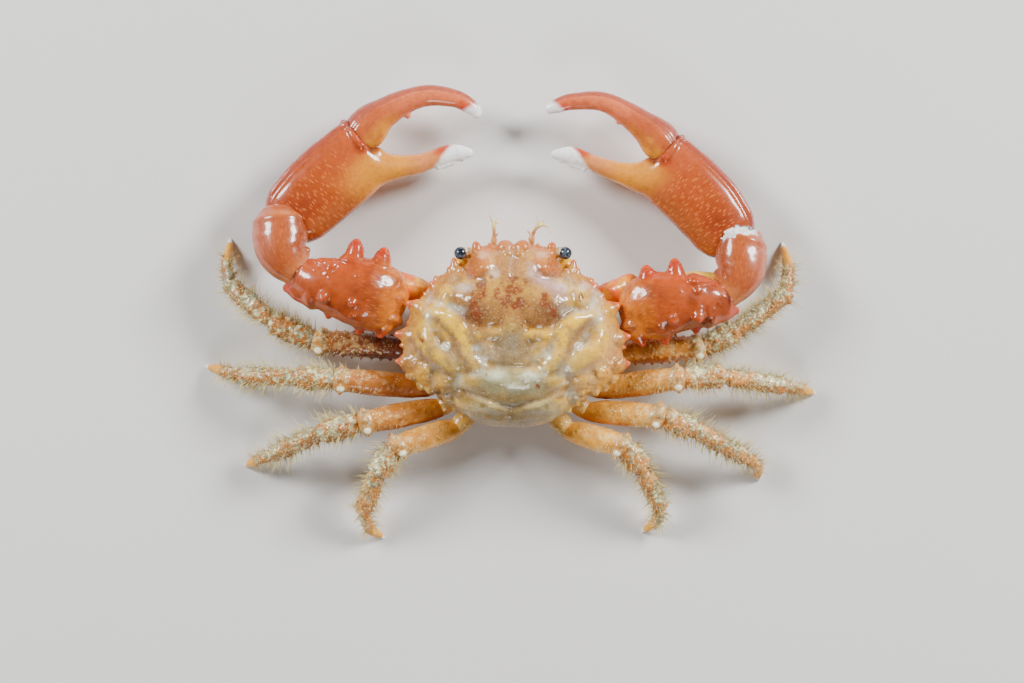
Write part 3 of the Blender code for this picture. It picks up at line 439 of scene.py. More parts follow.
class Limb:
    """One part of a leg or claw: oval rings along a curve, its two ends turned to its neighbours.

    A row of the profile is a share of the length, the half width, and the half height if it differs.
    """

    def __init__(self, points, profile, start_normal=None, end_normal=None, scale=1.0, power=2.0,
                 rows=LIMB_ROWS):
        line = smooth_line(points)
        reach = np.concatenate([[0.0], np.cumsum(np.linalg.norm(np.diff(line, axis=0), axis=1))])
        self.length, self.power = reach[-1], power
        self.t = np.linspace(0, 1, rows)
        axes = [np.interp(self.t * reach[-1], reach, axis) for axis in line.T]
        self.centre = np.stack(axes, axis=1)
        self.heading = unit(np.gradient(self.centre, axis=0))
        normal = self.heading.copy()
        if start_normal is not None:
            near = np.clip(1 - self.t / 0.25, 0, 1)[:, None]
            normal = normal * (1 - near) + np.asarray(start_normal) * near
        if end_normal is not None:
            near = np.clip((self.t - 0.75) / 0.25, 0, 1)[:, None]
            normal = normal * (1 - near) + np.asarray(end_normal) * near
        self.normal = unit(normal)
        across = UP if abs(self.heading[0] @ UP) < 0.9 else np.array((1.0, 0.0, 0.0))
        side = np.cross(self.heading, across)
        self.side = unit(side - self.normal * (side * self.normal).sum(axis=1, keepdims=True))
        self.top = np.cross(self.side, self.normal)
        share, width, *height = np.array(profile, float).T
        height = height[0] if height else width
        fine = np.linspace(-0.03, 0.03, 7)
        self.width = np.mean([np.interp(self.t + d, share, width) for d in fine], axis=0) * scale
        self.height = np.mean([np.interp(self.t + d, share, height) for d in fine], axis=0) * scale

    def point(self, t, angle):
        """The point of the surface at a share of the length and an angle from the side."""
        row = int(round(t * (len(self.t) - 1)))
        return (self.centre[row] + self.side[row] * math.cos(angle) * self.width[row]
                + self.top[row] * math.sin(angle) * self.height[row])

    def shape(self, sides, tuck=0.0, bulge=0.35):
        """A closed mesh with rounded ends, its near end longer by tuck."""
        angles = 2 * math.pi * np.arange(sides) / sides
        c, s = np.cos(angles), np.sin(angles)
        c, s = np.sign(c) * abs(c) ** (2 / self.power), np.sign(s) * abs(s) ** (2 / self.power)
        rows = [(self.centre[i], i, 1.0) for i in range(len(self.t))]
        for k in (1, 2, 3, 4):
            turn = k / 4.2 * math.pi / 2
            for end, way in ((0, -1), (len(self.t) - 1, 1)):
                far = tuck if end == 0 else 0.0
                step = bulge * min(self.width[end], self.height[end]) * math.sin(turn) + far * k / 4
                middle = self.centre[end] + way * self.normal[end] * step
                row = (middle, end, math.cos(turn) * (1 - 0.1 * k * far))
                rows.insert(0, row) if end == 0 else rows.append(row)
        rings = [middle + share * (np.outer(c, self.side[i]) * self.width[i] + np.outer(s, self.top[i])
                                   * self.height[i]) for middle, i, share in rows]
        return rings_shape(rings)

    def locate(self, points):
        """Share of the length, distances along side and top in half widths, for each point."""
        row = np.concatenate([((block[:, None] - self.centre) ** 2).sum(axis=2).argmin(axis=1)
                              for block in np.array_split(points, len(points) // BLOCK + 1)])
        away = points - self.centre[row]
        t = self.t[row] + (away * self.heading[row]).sum(axis=1) / self.length
        return (t, (away * self.side[row]).sum(axis=1) / self.width[row],
                (away * self.top[row]).sum(axis=1) / self.height[row])


def rings_shape(rings):
    """Points and faces of a closed mesh through rings of as many points each."""
    count = len(rings[0])
    k = np.arange(count)
    low = np.stack([k, (k + 1) % count, (k + 1) % count + count, k + count], axis=1)
    faces = np.concatenate([low + count * i for i in range(len(rings) - 1)]).tolist()
    faces.append(list(range(count - 1, -1, -1)))
    faces.append([count * (len(rings) - 1) + i for i in range(count)])
    return np.concatenate(rings), faces


def horn(root, tip, radius, tip_radius, flare=1.35):
    """A tapered spine with a wide foot and a round tip."""
    root, tip = np.array(root, float), np.array(tip, float)
    tip = tip - unit(tip - root) * 0.6 * tip_radius
    waist = radius * 0.62 + tip_radius * 0.38
    profile = ((0.0, radius * flare), (0.3, radius), (0.65, waist), (0.92, tip_radius * 1.15),
               (1.0, tip_radius * 0.8))
    return Limb((root, (root + tip) / 2, tip), profile, rows=14).shape(16, bulge=0.8)


def ball(centre, radius, squash=1.0):
    """A round closed mesh; squash flattens it."""
    turn = 2 * math.pi * np.arange(16) / 16
    rings = []
    for tilt in np.linspace(-0.48, 0.48, 13) * math.pi:
        flat = math.cos(tilt)
        ring = [np.cos(turn) * flat, np.sin(turn) * flat, np.full(16, math.sin(tilt) * squash)]
        rings.append(np.array(centre) + radius * np.stack(ring, axis=1))
    return rings_shape(rings)


class Skin:
    """Closed shapes melted into one even mesh, then relaxed, moved and coloured point by point."""

    def __init__(self, shapes, size, rounds=3):
        points = np.concatenate([shape[0] for shape in shapes])
        starts = np.cumsum([0] + [len(shape[0]) for shape in shapes])
        faces = [[i + start for i in face] for shape, start in zip(shapes, starts) for face in shape[1]]
        rough = bpy.data.meshes.new("melt")
        rough.from_pydata(points.tolist(), [], faces)
        helper = bpy.data.objects.new("melt", rough)
        bpy.context.scene.collection.objects.link(helper)
        melt = helper.modifiers.new("melt", "REMESH")
        melt.mode = "VOXEL"
        melt.voxel_size = size
        graph = bpy.context.evaluated_depsgraph_get()
        self.data = bpy.data.meshes.new_from_object(helper.evaluated_get(graph))
        bpy.data.objects.remove(helper)
        bpy.data.meshes.remove(rough)
        self.points = read(self.data.vertices, "co", 3)
        self.edges = read(self.data.edges, "vertices", 2, np.int32)
        self.colour = np.ones((len(self.points), 3))
        self.relax(rounds)

    def relax(self, rounds, share=0.5):
        """Moves each point towards the middle of its neighbours."""
        a, b = self.edges.T
        count = np.bincount(self.edges.ravel(), minlength=len(self.points))[:, None]
        for _ in range(rounds):
            total = [np.bincount(a, axis[b], len(axis)) + np.bincount(b, axis[a], len(axis))
                     for axis in self.points.T]
            self.points += share * (np.stack(total, axis=1) / count - self.points)

    def normals(self):
        self.data.vertices.foreach_set("co", self.points.ravel())
        self.data.update()
        return read(self.data.vertices, "normal", 3)

    def push(self, height):
        """Moves each point out along its normal."""
        self.points += self.normals() * np.asarray(height)[:, None]

    def cloud(self, size, seed, octaves=3):
        return cloud(self.points, size, seed, octaves)

    def beads(self, spacing, size, seed):
        return beads(self.points, spacing, size, seed)

    def paint(self, red, green, blue, share=1.0):
        """Tints the skin with the colour that shows as these 0 to 255 values."""
        self.tint(shade(red, green, blue), share)

    def tint(self, colour, share=1.0):
        share = np.clip(np.broadcast_to(share, len(self.points)), 0, 1)[:, None]
        self.colour = self.colour * (1 - share) + np.asarray(colour) * share

    def near(self, place, radius):
        """1 at a place, falling to 0 at the radius round it."""
        return 1 - ramp(np.linalg.norm(self.points - np.array(place), axis=1), radius * 0.55, radius)

    def mark(self, name, values):
        """Stores a number or a vector on each point, for the material to read."""
        values = np.asarray(values, np.float32)
        kind, key = ("FLOAT_VECTOR", "vector") if values.ndim == 2 else ("FLOAT", "value")
        if values.ndim == 0:
            values = np.full(len(self.points), values)
        layer = self.data.attributes.new(name, kind, "POINT")
        layer.data.foreach_set(key, values.ravel())

    def make(self, name, material, slot, *nodes):
        """Finishes the piece, in metres, standing for the named nodes of the frame."""
        self.data.name = name
        self.data.vertices.foreach_set("co", ((self.points + SHIFT) * MM).astype(np.float32).ravel())
        paint = self.data.color_attributes.new("tint", "FLOAT_COLOR", "POINT")
        colour = np.c_[self.colour, np.ones(len(self.colour))]
        paint.data.foreach_set("color", colour.astype(np.float32).ravel())
        settle(name, self.data, material, slot, *nodes)


def read(items, what, width, kind=np.float32):
    values = np.empty(len(items) * width, kind)
    items.foreach_get(what, values)
    return values.reshape(-1, width).astype(float if kind is np.float32 else kind)


def settle(name, data, material, slot, *nodes):
    """Makes a finished mesh a piece of the crab."""
    data.materials.clear()
    data.materials.append(material)
    data.shade_smooth()
    piece = bpy.data.objects.new(name, data)
    bpy.context.scene.collection.objects.link(piece)
    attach(piece, "root")
    if nodes:
        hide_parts(*nodes)


class Finish:
    """One material, with short ways to add and join its nodes."""

    def __init__(self, name, roughness, coat=0.0, scatter=0.0, coat_roughness=0.09):
        self.material = bpy.data.materials.new(name)
        self.material.use_nodes = True
        self.tree = self.material.node_tree
        self.shader = self.tree.nodes["Principled BSDF"]
        sockets = {"Roughness": roughness, "Coat Weight": coat, "Coat Roughness": coat_roughness,
                   "Subsurface Weight": scatter, "Subsurface Scale": 0.4 * MM,
                   "Subsurface Radius": (1.0, 0.45, 0.25), "Specular IOR Level": 0.5 - 0.4 * coat}
        for socket, value in sockets.items():
            self.shader.inputs[socket].default_value = value
        self.place = self.add("ShaderNodeTexCoord").outputs["Object"]

    def add(self, kind, links=(), **settings):
        node = self.tree.nodes.new(kind)
        for name, value in settings.items():
            setattr(node, name, value)
        for socket, value in links:
            if isinstance(value, bpy.types.NodeSocket):
                self.tree.links.new(value, node.inputs[socket])
            else:
                node.inputs[socket].default_value = value
        return node

    def mark(self, name, output="Fac"):
        """What the mesh stores under this name."""
        return self.add("ShaderNodeAttribute", attribute_name=name).outputs[output]

    def noise(self, size, detail, rough=0.55):
        """Cloudy noise whose lumps are about the given millimetres across."""
        links = {"Vector": self.place, "Scale": 1 / (size * MM), "Detail": detail, "Roughness": rough}
        return self.add("ShaderNodeTexNoise", links.items()).outputs["Fac"]

    def dots(self, size, place=None, dimensions="3D"):
        """Distance to scattered dots the given millimetres apart, in that spacing."""
        links = (("Vector", place or self.place), ("Scale", 1 / (size * MM)))
        return self.add("ShaderNodeTexVoronoi", links, voronoi_dimensions=dimensions).outputs["Distance"]

    def span(self, value, low, high, to_low=0.0, to_high=1.0):
        links = ((0, value), (1, low), (2, high), (3, to_low), (4, to_high))
        return self.add("ShaderNodeMapRange", links, interpolation_type="SMOOTHSTEP").outputs[0]

    def sum(self, a, b, operation="ADD"):
        return self.add("ShaderNodeMath", ((0, a), (1, b)), operation=operation).outputs[0]

    def mix(self, share, a, b, blend_type="MIX"):
        full = [(*value, 1.0) if isinstance(value, tuple) else value for value in (a, b)]
        links = ((0, share), (6, full[0]), (7, full[1]))
        return self.add("ShaderNodeMix", links, data_type="RGBA", blend_type=blend_type).outputs[2]

    def bump(self, height, depth, below=None):
        """Bumps whose full height is the given millimetres."""
        links = [("Height", height), ("Strength", 1.0), ("Distance", depth * MM)]
        if below is not None:
            links.append(("Normal", below))
        return self.add("ShaderNodeBump", links).outputs["Normal"]

    def join(self, socket, value):
        self.tree.links.new(value, self.shader.inputs[socket])


def shell_finish(name, roughness, coat, pale=(0.75, 0.66, 0.5), streaks=False, pits=0.03,
                 coat_roughness=0.09, mottle=0.0):
    """Wet shell: the tint, cloudy variation, pale specks or streaks where marked, and a fine grain."""
    made = Finish(name, roughness, coat, 0.04, coat_roughness)
    share = made.span(made.noise(1.5, 5), 0.35, 0.65)
    colour = made.mix(share, made.mark("tint", "Color"), (1.1, 1.1, 1.1), "MULTIPLY")
    share = made.span(made.noise(0.5, 4), 0.42, 0.72, 0.0, 0.6)
    colour = made.mix(share, colour, (0.76, 0.66, 0.53), "MULTIPLY")
    if mottle:
        share = made.span(made.noise(0.35, 5, 0.7), 0.5, 0.7, 0.0, mottle)
        colour = made.mix(share, colour, (0.7, 0.56, 0.44), "MULTIPLY")
        share = made.span(made.noise(0.28, 4, 0.7), 0.52, 0.75, 0.0, mottle)
        colour = made.mix(share, colour, (0.85, 0.66, 0.36))
    specks = made.span(made.noise(0.2, 3), 0.56, 0.68)
    if streaks:
        specks = made.span(made.dots(0.9, made.mark("lay", "Vector"), "2D"), 0.1, 0.25, 0.6, 0.0)
    colour = made.mix(made.sum(specks, made.mark("speck"), "MULTIPLY"), colour, pale)
    made.join("Base Color", colour)
    made.join("Roughness", made.span(made.noise(0.9, 3), 0.3, 0.7, roughness * 0.75, roughness * 1.4))
    grain = made.bump(made.span(made.dots(0.34), 0.05, 0.4, 1.0, 0.0), 0.6 * pits)
    grain = made.bump(made.noise(0.16, 3), 0.5 * pits, grain)
    made.join("Normal", made.bump(made.noise(0.7, 4), 1.5 * pits, grain))
    return made.material


def carapace_place(places):
    """Points given out, forward and up from the middle of the carapace, in the crab's own frame."""
    places = np.asarray(places, float)
    c, s = math.cos(SHELL_TURN), math.sin(SHELL_TURN)
    x, y, z = places[..., 0], places[..., 1], places[..., 2]
    return np.stack([c * x - s * y, s * x + c * y, z], axis=-1) + SHELL_CENTRE


def reach_at(angle, outline):
    """How far an outline that is alike on both sides reaches at each angle from the front."""
    degrees = np.abs((np.degrees(angle) + 180) % 360 - 180)
    return np.interp(degrees, *np.array(outline, float).T)


def edge_reach(angle):
    return reach_at(angle, SHELL_OUTLINE)


def edge_height(angle):
    return SHELL_EDGE + SHELL_EDGE_RISE * np.cos(angle)


def wander(out, forward):
    """The same places a little astray, so that no line of the back runs even, or alike on both sides."""
    flat = np.stack([out, forward, np.zeros(len(out))], axis=1)
    return abs(out) + 0.3 * cloud(flat, 3.0, 200, 2), forward + 0.3 * cloud(flat, 3.0, 201, 2)


def band(out, forward, half_width, points, power):
    """1 along a line on each side of the back, falling off beyond its half width."""
    gap = gap_to_line(np.stack([abs(out), forward], axis=1), smooth_line(points, 6))
    return np.exp(-((gap / half_width) ** power))


def deposit_share(out, forward):
    """Share of pale deposit in and beside the grooves."""
    shares = [deposit * band(out, forward, 1.3 * width, points, 2)
              for width, _, deposit, points in GROOVES]
    return np.max(shares, axis=0)


def back_detail(out, forward):
    """How far the swellings, ridges and grooves of the back rise over its plain dome."""
    out, forward = wander(out, forward)
    detail = np.zeros(len(out))
    for middle, ahead, wide, long, turn, rise, steep in DOMES:
        turn = math.radians(turn)
        c, s = math.cos(turn), math.sin(turn)
        x, y = out - middle, forward - ahead
        gap = np.hypot((c * x + s * y) / wide, (c * y - s * x) / long)
        detail += rise * np.exp(-(gap**steep))
    for width, rise, points in RIDGES:
        detail += rise * band(out, forward, width, points, 3)
    for width, depth, _, points in GROOVES:
        detail -= depth * band(out, forward, width, points, 2)
    return detail


def back_height(out, forward):
    """Height of the back over each point."""
    angle = np.arctan2(out, forward)
    share = np.minimum(np.hypot(out, forward) / edge_reach(angle), 1.0)
    edge = edge_height(angle)
    dome = edge + (SHELL_CROWN - edge) * (1 - share**2.3) ** 0.7
    return dome + back_detail(out, forward) * np.minimum(1.0, 5 * (1 - share))


def body_ring(turn, reach, height):
    """A ring round the body; height is a number, one to each point, or a rule of out and forward."""
    out, forward = reach * np.sin(turn), reach * np.cos(turn)
    if callable(height):
        height = height(out, forward)
    return carapace_place(np.stack([out, forward, np.broadcast_to(height, len(turn))], axis=1))


def both(out, forward, height):
    """The same place on the left and on the right of the carapace."""
    return [carapace_place((way * out, forward, height)) for way in (-1, 1)]


def build_carapace(shell):
    turn = 2 * math.pi * np.arange(SHELL_COLUMNS) / SHELL_COLUMNS
    reach = edge_reach(turn)
    shares = np.concatenate([np.linspace(0.02, 0.9, 60), np.linspace(0.91, 1.0, 12)])
    rings = [body_ring(turn, share * reach, back_height) for share in shares]
    rings += [body_ring(turn, share * reach, edge_height(turn) - drop) for share, drop in SHELL_RIM]
    shapes, tips = [rings_shape(rings)], []
    for out, forward, rise, length, radius, tip_radius, heading in EDGE_TEETH:
        height = float(edge_height(math.atan2(out, forward))) + rise
        lean = math.radians(heading)
        roots = both(out - length * math.sin(lean), forward - length * math.cos(lean), height)
        for root, tip in zip(roots, both(out, forward, height + 0.1)):
            shapes.append(horn(root, tip, radius, tip_radius, 1.1))
            tips.append((tip, length))
    for angle in map(math.radians, EDGE_BEADS):
        reach = float(edge_reach(angle))
        places = both(reach * math.sin(angle), reach * math.cos(angle), edge_height(angle))
        shapes += [ball(place, 0.42) for place in places]
    for out, forward, radius, sunk in BACK_KNOBS:
        height = float(back_height(np.array([out]), np.array([forward]))[0])
        shapes += [ball(place, radius) for place in both(out, forward, height - sunk)]
    *orbit, orbit_radius = ORBIT_FLOOR
    shapes += [ball(place, orbit_radius, 0.8) for place in both(*orbit)]
    skin = Skin(shapes, shell.grain / MM, 3)
    x, y, z = (skin.points - SHELL_CENTRE).T
    bearing = np.arctan2(x, y)
    share = np.hypot(x, y) / edge_reach(bearing)
    drop = z - edge_height(bearing)
    above = ramp(drop, -0.6, 0.3)
    discs = [1 - ramp(np.hypot(x - out, y - forward), 0.8 * radius, radius)
             for out, forward, radius in DISCS]
    discs = np.max(discs, axis=0) * above
    lumps = 0.09 * skin.cloud(2.0, 3, 2) + 0.03 * skin.cloud(0.7, 4)
    rear_side = ramp(share, 0.72, 0.9) * ramp(y, 0.5, -2.5) * ramp(y, -9.5, -7.5)
    pearls = 0.22 * rear_side * skin.beads(1.5, 0.5, 5) + 0.035 * skin.beads(0.8, 0.24, 6)
    seam = peak(drop + 1.7 + 0.3 * np.cos(6 * bearing), 0.0, 0.16)
    below = (0.12 * skin.beads(0.75, 0.34, 7) - 0.16 * seam) * (1 - above)
    skin.push((lumps + pearls) * above * (1 - discs) + 0.1 * discs + below)
    paint_carapace(skin, shell, x, y, share, above, discs)
    for tip, length in tips:
        skin.tint(shell.spine, min(0.8, 0.2 + 0.25 * length) * skin.near(tip, 0.15 + 0.45 * length))
        skin.paint(232, 160, 132, 0.5 * skin.near(tip, 0.3 * length))
    skin.tint(shell.under, 1 - above)
    skin.paint(220, 146, 98, 0.55 * (1 - above) * ramp(skin.cloud(1.8, 16), -0.2, 0.5))
    skin.paint(168, 104, 66, 0.6 * seam * (1 - above))
    # Ochre floor of each orbit, painted extra light to lift the shade that the eye casts on it
    for place in both(*orbit):
        skin.paint(240, 196, 112, 0.9 * skin.near(place, 1.6 * orbit_radius))
    finish = shell_finish("carapace_finish", 0.36, 0.85, pits=0.02, coat_roughness=0.12, mottle=0.5)
    skin.make("carapace_shell", finish, "shell", "carapace")


def paint_carapace(skin, shell, x, y, share, above, discs):
    """The zones of colour of the back, from the front lobes to the pale rear."""
    wide, fine, grainy = skin.cloud(2.4, 8), skin.cloud(0.8, 6), skin.cloud(0.4, 12)
    marks = [1 - ramp(np.hypot(x - out, y - forward) / radius + 0.5 * grainy + 0.6 * fine, 0.5, 0.85)
             for out, forward, radius in BLOTCHES]
    right = ramp(x, 0.0, 1.0)
    detail = back_detail(x, y)
    x, y = wander(x, y)

    def zone(middle, ahead, half_width, half_length, inner=0.6):
        away = np.hypot((abs(x) - middle) / half_width, (y - ahead) / half_length) + 0.15 * wide
        return 1 - ramp(away, inner, 1.15)

    def line(half_width, *points):
        return band(x, y, half_width, points, 2)

    # Base colour, and how it follows folds and hollows: gold on the crests, and painted shade in the
    # hollows, along the first groove and on the outer flanks of the two long folds
    skin.tint(shell.back)
    skin.paint(182, 142, 92, 0.7 * ramp(wide, 0.3, -0.5))
    skin.paint(226, 196, 116, 0.75 * ramp(fine + wide, 0.1, 0.9))
    # Painted shade: darker where the back sinks below its plain dome
    skin.paint(146, 112, 84, 0.6 * ramp(detail, 0.3, -0.3))
    skin.paint(232, 200, 122, 0.85 * ramp(detail, 0.45, 0.9) * ramp(fine, -0.7, 0.2))
    skin.paint(190, 172, 130, 0.5 * ramp(y + 0.6 * wide, 1.0, -5.0) * ramp(share, 0.9, 0.7))
    # Painted shade, mauve, along the outer flank of each of the two long folds
    shaded = [line(0.45, *((out + 0.9, forward - 0.5) for out, forward in points))
              for _, _, points in RIDGES[:2]]
    skin.paint(168, 128, 110, 0.65 * np.max(shaded, axis=0))
    # Painted shade along the first groove
    skin.paint(152, 122, 88, 0.4 * line(0.5, *GROOVES[0][3]))
    # Rear and sides
    skin.paint(188, 184, 150, 0.8 * zone(0.0, -5.6, 5.0, 1.9))
    # Painted highlights on the humps of the cardiac swelling
    spots = 0.85 * zone(1.9, -4.9, 1.7, 0.9, 0.1) + 0.6 * zone(0.0, -6.1, 1.4, 0.8, 0.1)
    skin.paint(216, 218, 202, spots)
    skin.paint(162, 146, 108, 0.6 * zone(0.0, -9.4, 7.2, 2.0))
    skin.paint(208, 194, 146, 0.8 * zone(3.6, -8.4, 3.0, 0.9, 0.3) * ramp(fine, -0.8, 0.1))
    spots = 0.85 * zone(5.0, -5.4, 1.8, 1.0, 0.2) + 0.5 * zone(6.2, -8.0, 1.6, 0.7, 0.3)
    skin.paint(220, 194, 132, spots)
    spots = 0.85 * zone(10.7, -4.9, 1.4, 1.4, 0.3) + 0.7 * zone(8.5, -5.6, 1.3, 1.0, 0.3)
    skin.paint(222, 188, 122, spots)
    # Painted shade along the V groove behind the cardiac swelling
    skin.paint(124, 98, 62, 0.4 * line(0.3, *GROOVES[11][3]))
    # The field inside the middle ridge
    skin.paint(172, 148, 112, 0.6 * zone(0.0, -1.5, 3.7, 2.7, 0.4))
    skin.paint(160, 146, 120, 0.7 * zone(0.0, -0.8, 1.9, 2.9, 0.2))
    skin.paint(150, 128, 98, 0.45 * line(0.5, (1.9, -0.8), (1.6, -2.0), (0.8, -2.8), (0.0, -3.0)))
    skin.paint(170, 162, 138, 0.4 * zone(0.0, -1.2, 0.9, 1.3, 0.1))
    # The brown lobes before it
    skin.paint(190, 142, 90, 0.9 * zone(3.2, 3.8, 4.2, 3.2, 0.7))
    skin.paint(152, 104, 72, 0.85 * zone(4.2, 2.7, 3.2, 1.9, 0.3) * ramp(fine + wide, -0.9, 0.2))
    skin.paint(214, 178, 112, 0.7 * zone(2.6, 5.2, 2.2, 1.4, 0.2) * ramp(fine, -0.5, 0.3))
    # Painted mauve-white highlights at two places on each side of the front half
    skin.paint(228, 224, 226, 0.35 * zone(5.8, 5.8, 1.1, 0.7, 0.2) + 0.35 * zone(2.2, 7.5, 0.9, 0.7, 0.2))
    # The right half only: a painted mauve-white reflection, a pale deposit with a painted highlight, and
    # painted light that makes the outer right side lighter than the left
    # Painted reflection: a mauve-white band from the brow back to the gastric swelling
    skin.paint(208, 186, 188, 0.6 * right * line(0.9, (2.2, 8.0), (3.4, 6.6), (5.4, 5.6)))
    # Pale bluish-white deposit on the right hepatic swelling, in part a painted highlight
    skin.paint(224, 226, 218, 0.7 * right * zone(8.6, 6.0, 1.1, 0.9, 0.3) * ramp(fine, -0.4, 0.2))
    # Painted light: the outer right side, its big rear bump and a band near its edge lighter and yellower,
    # for the stronger light on that side
    outer = 0.55 * right * ramp(share, 0.6, 0.85)
    skin.paint(228, 192, 134, outer * ramp(y, 1.0, -2.0) * ramp(y, -8.0, -6.0))
    skin.paint(230, 190, 128, 0.7 * right * zone(10.7, -4.9, 1.2, 1.2, 0.3))
    skin.paint(220, 200, 162, 0.5 * right * line(0.7, (9.6, 3.4), (10.8, 1.6), (12.2, -0.4)))
    # Front lobes and brow
    skin.paint(200, 154, 106, 0.8 * zone(0.0, 8.4, 2.6, 2.2, 0.5))
    skin.paint(212, 144, 86, 0.95 * zone(4.1, 8.9, 2.2, 2.3, 0.6))
    skin.paint(206, 122, 60, 0.8 * zone(4.9, 8.0, 1.1, 1.7, 0.2))
    # Painted highlight on the brow lobe
    skin.paint(232, 208, 196, 0.6 * zone(3.3, 9.6, 0.9, 0.7, 0.1))
    skin.paint(208, 160, 78, 0.8 * zone(0.7, 9.6, 0.6, 0.55, 0.6) + 0.8 * zone(6.2, 7.9, 0.9, 0.7, 0.6))
    skin.paint(224, 148, 100, 0.9 * ramp(y + 0.1 * fine, 9.7, 10.5))
    skin.tint(shell.spine, 0.85 * ramp(y + 0.1 * fine, 10.7, 11.2))
    # Stains, blotches, pale deposit and discs
    skin.paint(140, 118, 84, 0.6 * zone(7.4, -7.4, 2.4, 1.3, 0.3) * ramp(fine, 0.5, -0.2))
    skin.tint(shell.blotch, 0.7 * line(0.45, (3.0, 7.6), (3.9, 7.0), (5.2, 7.1)) * ramp(fine, -0.6, 0.2))
    skin.paint(206, 150, 98, 0.6 * ramp(share + 0.04 * fine, 0.82, 0.96) * ramp(y, -6.5, -4.0))
    skin.tint(shell.blotch, 0.5 * line(0.4, (1.6, 1.4), (2.8, 1.3), (4.2, 1.5)) * ramp(fine, -0.6, 0.3))
    gap, own = grains(skin.points, 0.9, 14)
    skin.tint(shell.blotch, 0.55 * (1 - ramp(gap, 0.1, 0.2)) * (own > 0.5))
    skin.tint(shell.blotch, 0.85 * np.max(marks, axis=0) * ramp(grainy, -0.9, 0.0))
    skin.tint(shell.groove, deposit_share(x, y) * ramp(skin.cloud(0.8, 9), -0.5, 0.4))
    skin.paint(206, 208, 196, 0.6 * discs)
    skin.paint(240, 240, 232, 0.8 * ramp(discs, 0.1, 0.4) * ramp(discs, 1.0, 0.8))
    skin.mark("speck", 0.05 * above * ramp(skin.cloud(1.8, 10), -0.3, 0.4))


def joint_normal(before, middle, after):
    """The direction that a joint faces: halfway between the two parts that meet in it."""
    before, middle, after = (np.array(point) for point in (before, middle, after))
    return unit(unit(middle - before) + unit(after - middle))


def leg_limbs(name):
    """The five parts of a leg as Limbs, body to tip."""
    joints = [np.array(point) for point in LEGS[name]]
    middle_of_dactyl = joints.pop(5)
    normals = [unit(joints[1] - joints[0])]
    for i in range(1, 5):
        after = middle_of_dactyl if i == 4 else joints[i + 1]
        normals.append(joint_normal(joints[i - 1], joints[i], after))
    normals.append(np.array((0.0, 0.0, -1.0)))
    limbs = {}
    for i, kind in enumerate(LEG_PARTS):
        start, end = joints[i], joints[i + 1]
        points = (start, middle_of_dactyl, end) if kind == "dactyl" else (start, end)
        limbs[kind] = Limb(points, LEG_PROFILE[kind], normals[i], normals[i + 1], LEG_HALF_WIDTH[kind])
    return limbs


def leg_extras(name, kind, limb):
    """Knobs, teeth and spines of one leg part, and the white joint knob's place if it has one."""

    def toward(angle):
        """The angle from the right side of a right leg, or from the left side of a left one."""
        return angle if name.startswith("right") else math.pi - angle

    def spike(t, angle, depth, rise, radius, tip_radius):
        """Adds a spike that is rooted the given share of the way from the surface to the middle."""
        surface = limb.point(t, angle)
        middle = limb.centre[int(t * (LIMB_ROWS - 1))]
        root = middle * depth + surface * (1 - depth)
        shapes.append(horn(root, surface + unit(surface - middle) * rise, radius, tip_radius))

    shapes, white = [], None
    if kind == "merus":
        white = limb.point(0.96, toward(0.8))
        shapes.append(ball(white, 0.4))
        for angle, radius in ((0.0, 0.3), (1.7, 0.42), (2.5, 0.36), (3.3, 0.3)):
            shapes.append(ball(limb.point(0.955, toward(angle)), radius))
        if name.endswith("1"):
            for row, rise in ((0.15, 0.42), (0.95, 0.3), (2.0, 0.26), (2.9, 0.34)):
                for k in range(9):
                    spike(0.1 + 0.8 * k / 8, toward(row), 0.4, rise, 0.3, 0.07)
    if kind in ("carpus", "propodus"):
        for row in (0.5, 1.57, 2.6):
            for k in range(4):
                t = 0.14 + 0.26 * k
                spike(min(t, 0.96), toward(row + 0.25 * math.sin(5 * t + row)), 0.3, 0.22, 0.32, 0.12)
    return shapes, white


def build_leg(name, shell, bristle, finish, hair, rng):
    """One walking leg, and the bristles that grow from it."""
    limbs = leg_limbs(name)
    coat = Coat()
    for order, (kind, limb) in enumerate(limbs.items()):
        extras, white = leg_extras(name, kind, limb)
        skin = Skin([limb.shape(36, TUCK[kind]), *extras], shell.grain / MM, 2)
        t, side, top = limb.locate(skin.points)
        crust = np.full(len(t), float(kind in ("carpus", "propodus")))
        if kind == "dactyl":
            crust = 0.75 * (1 - ramp(t, 0.4, 0.62))
        if kind == "merus":
            crust = 0.5 * ramp(t, 0.82, 0.95) * ramp(top, -0.2, 0.4)
        rough = 0.12 * skin.beads(0.5, 0.6, 20 + order) + 0.16 * skin.cloud(0.9, 30, 4)
        beaded = 0.1 * skin.beads(0.62, 0.3, 32) * (t < 0.95) * ramp(top, -0.3, 0.3)
        skin.push(crust * rough + (1 - crust) * (0.04 * skin.cloud(1.1, 31) + beaded))
        skin.points[:, 2] = np.maximum(skin.points[:, 2], 0.0)
        paint_leg(skin, kind, t, side, crust, shell, white, name)
        specks = 0.9 * ramp(skin.cloud(1.1, 33), -0.3, 0.4) * ramp(t, 0.0, 0.4) + 0.7 * crust
        skin.mark("speck", np.clip(specks, 0, 1) * (kind != "dactyl" or 1 - ramp(t, 0.6, 0.75)))
        coat.grow(skin, limb, kind, order, t, side, top, bristle, rng)
        skin.make(f"{name}_{kind}_shell", finish, "legs", f"{name}_{kind}")
    coat.make(f"{name}_bristles", hair)


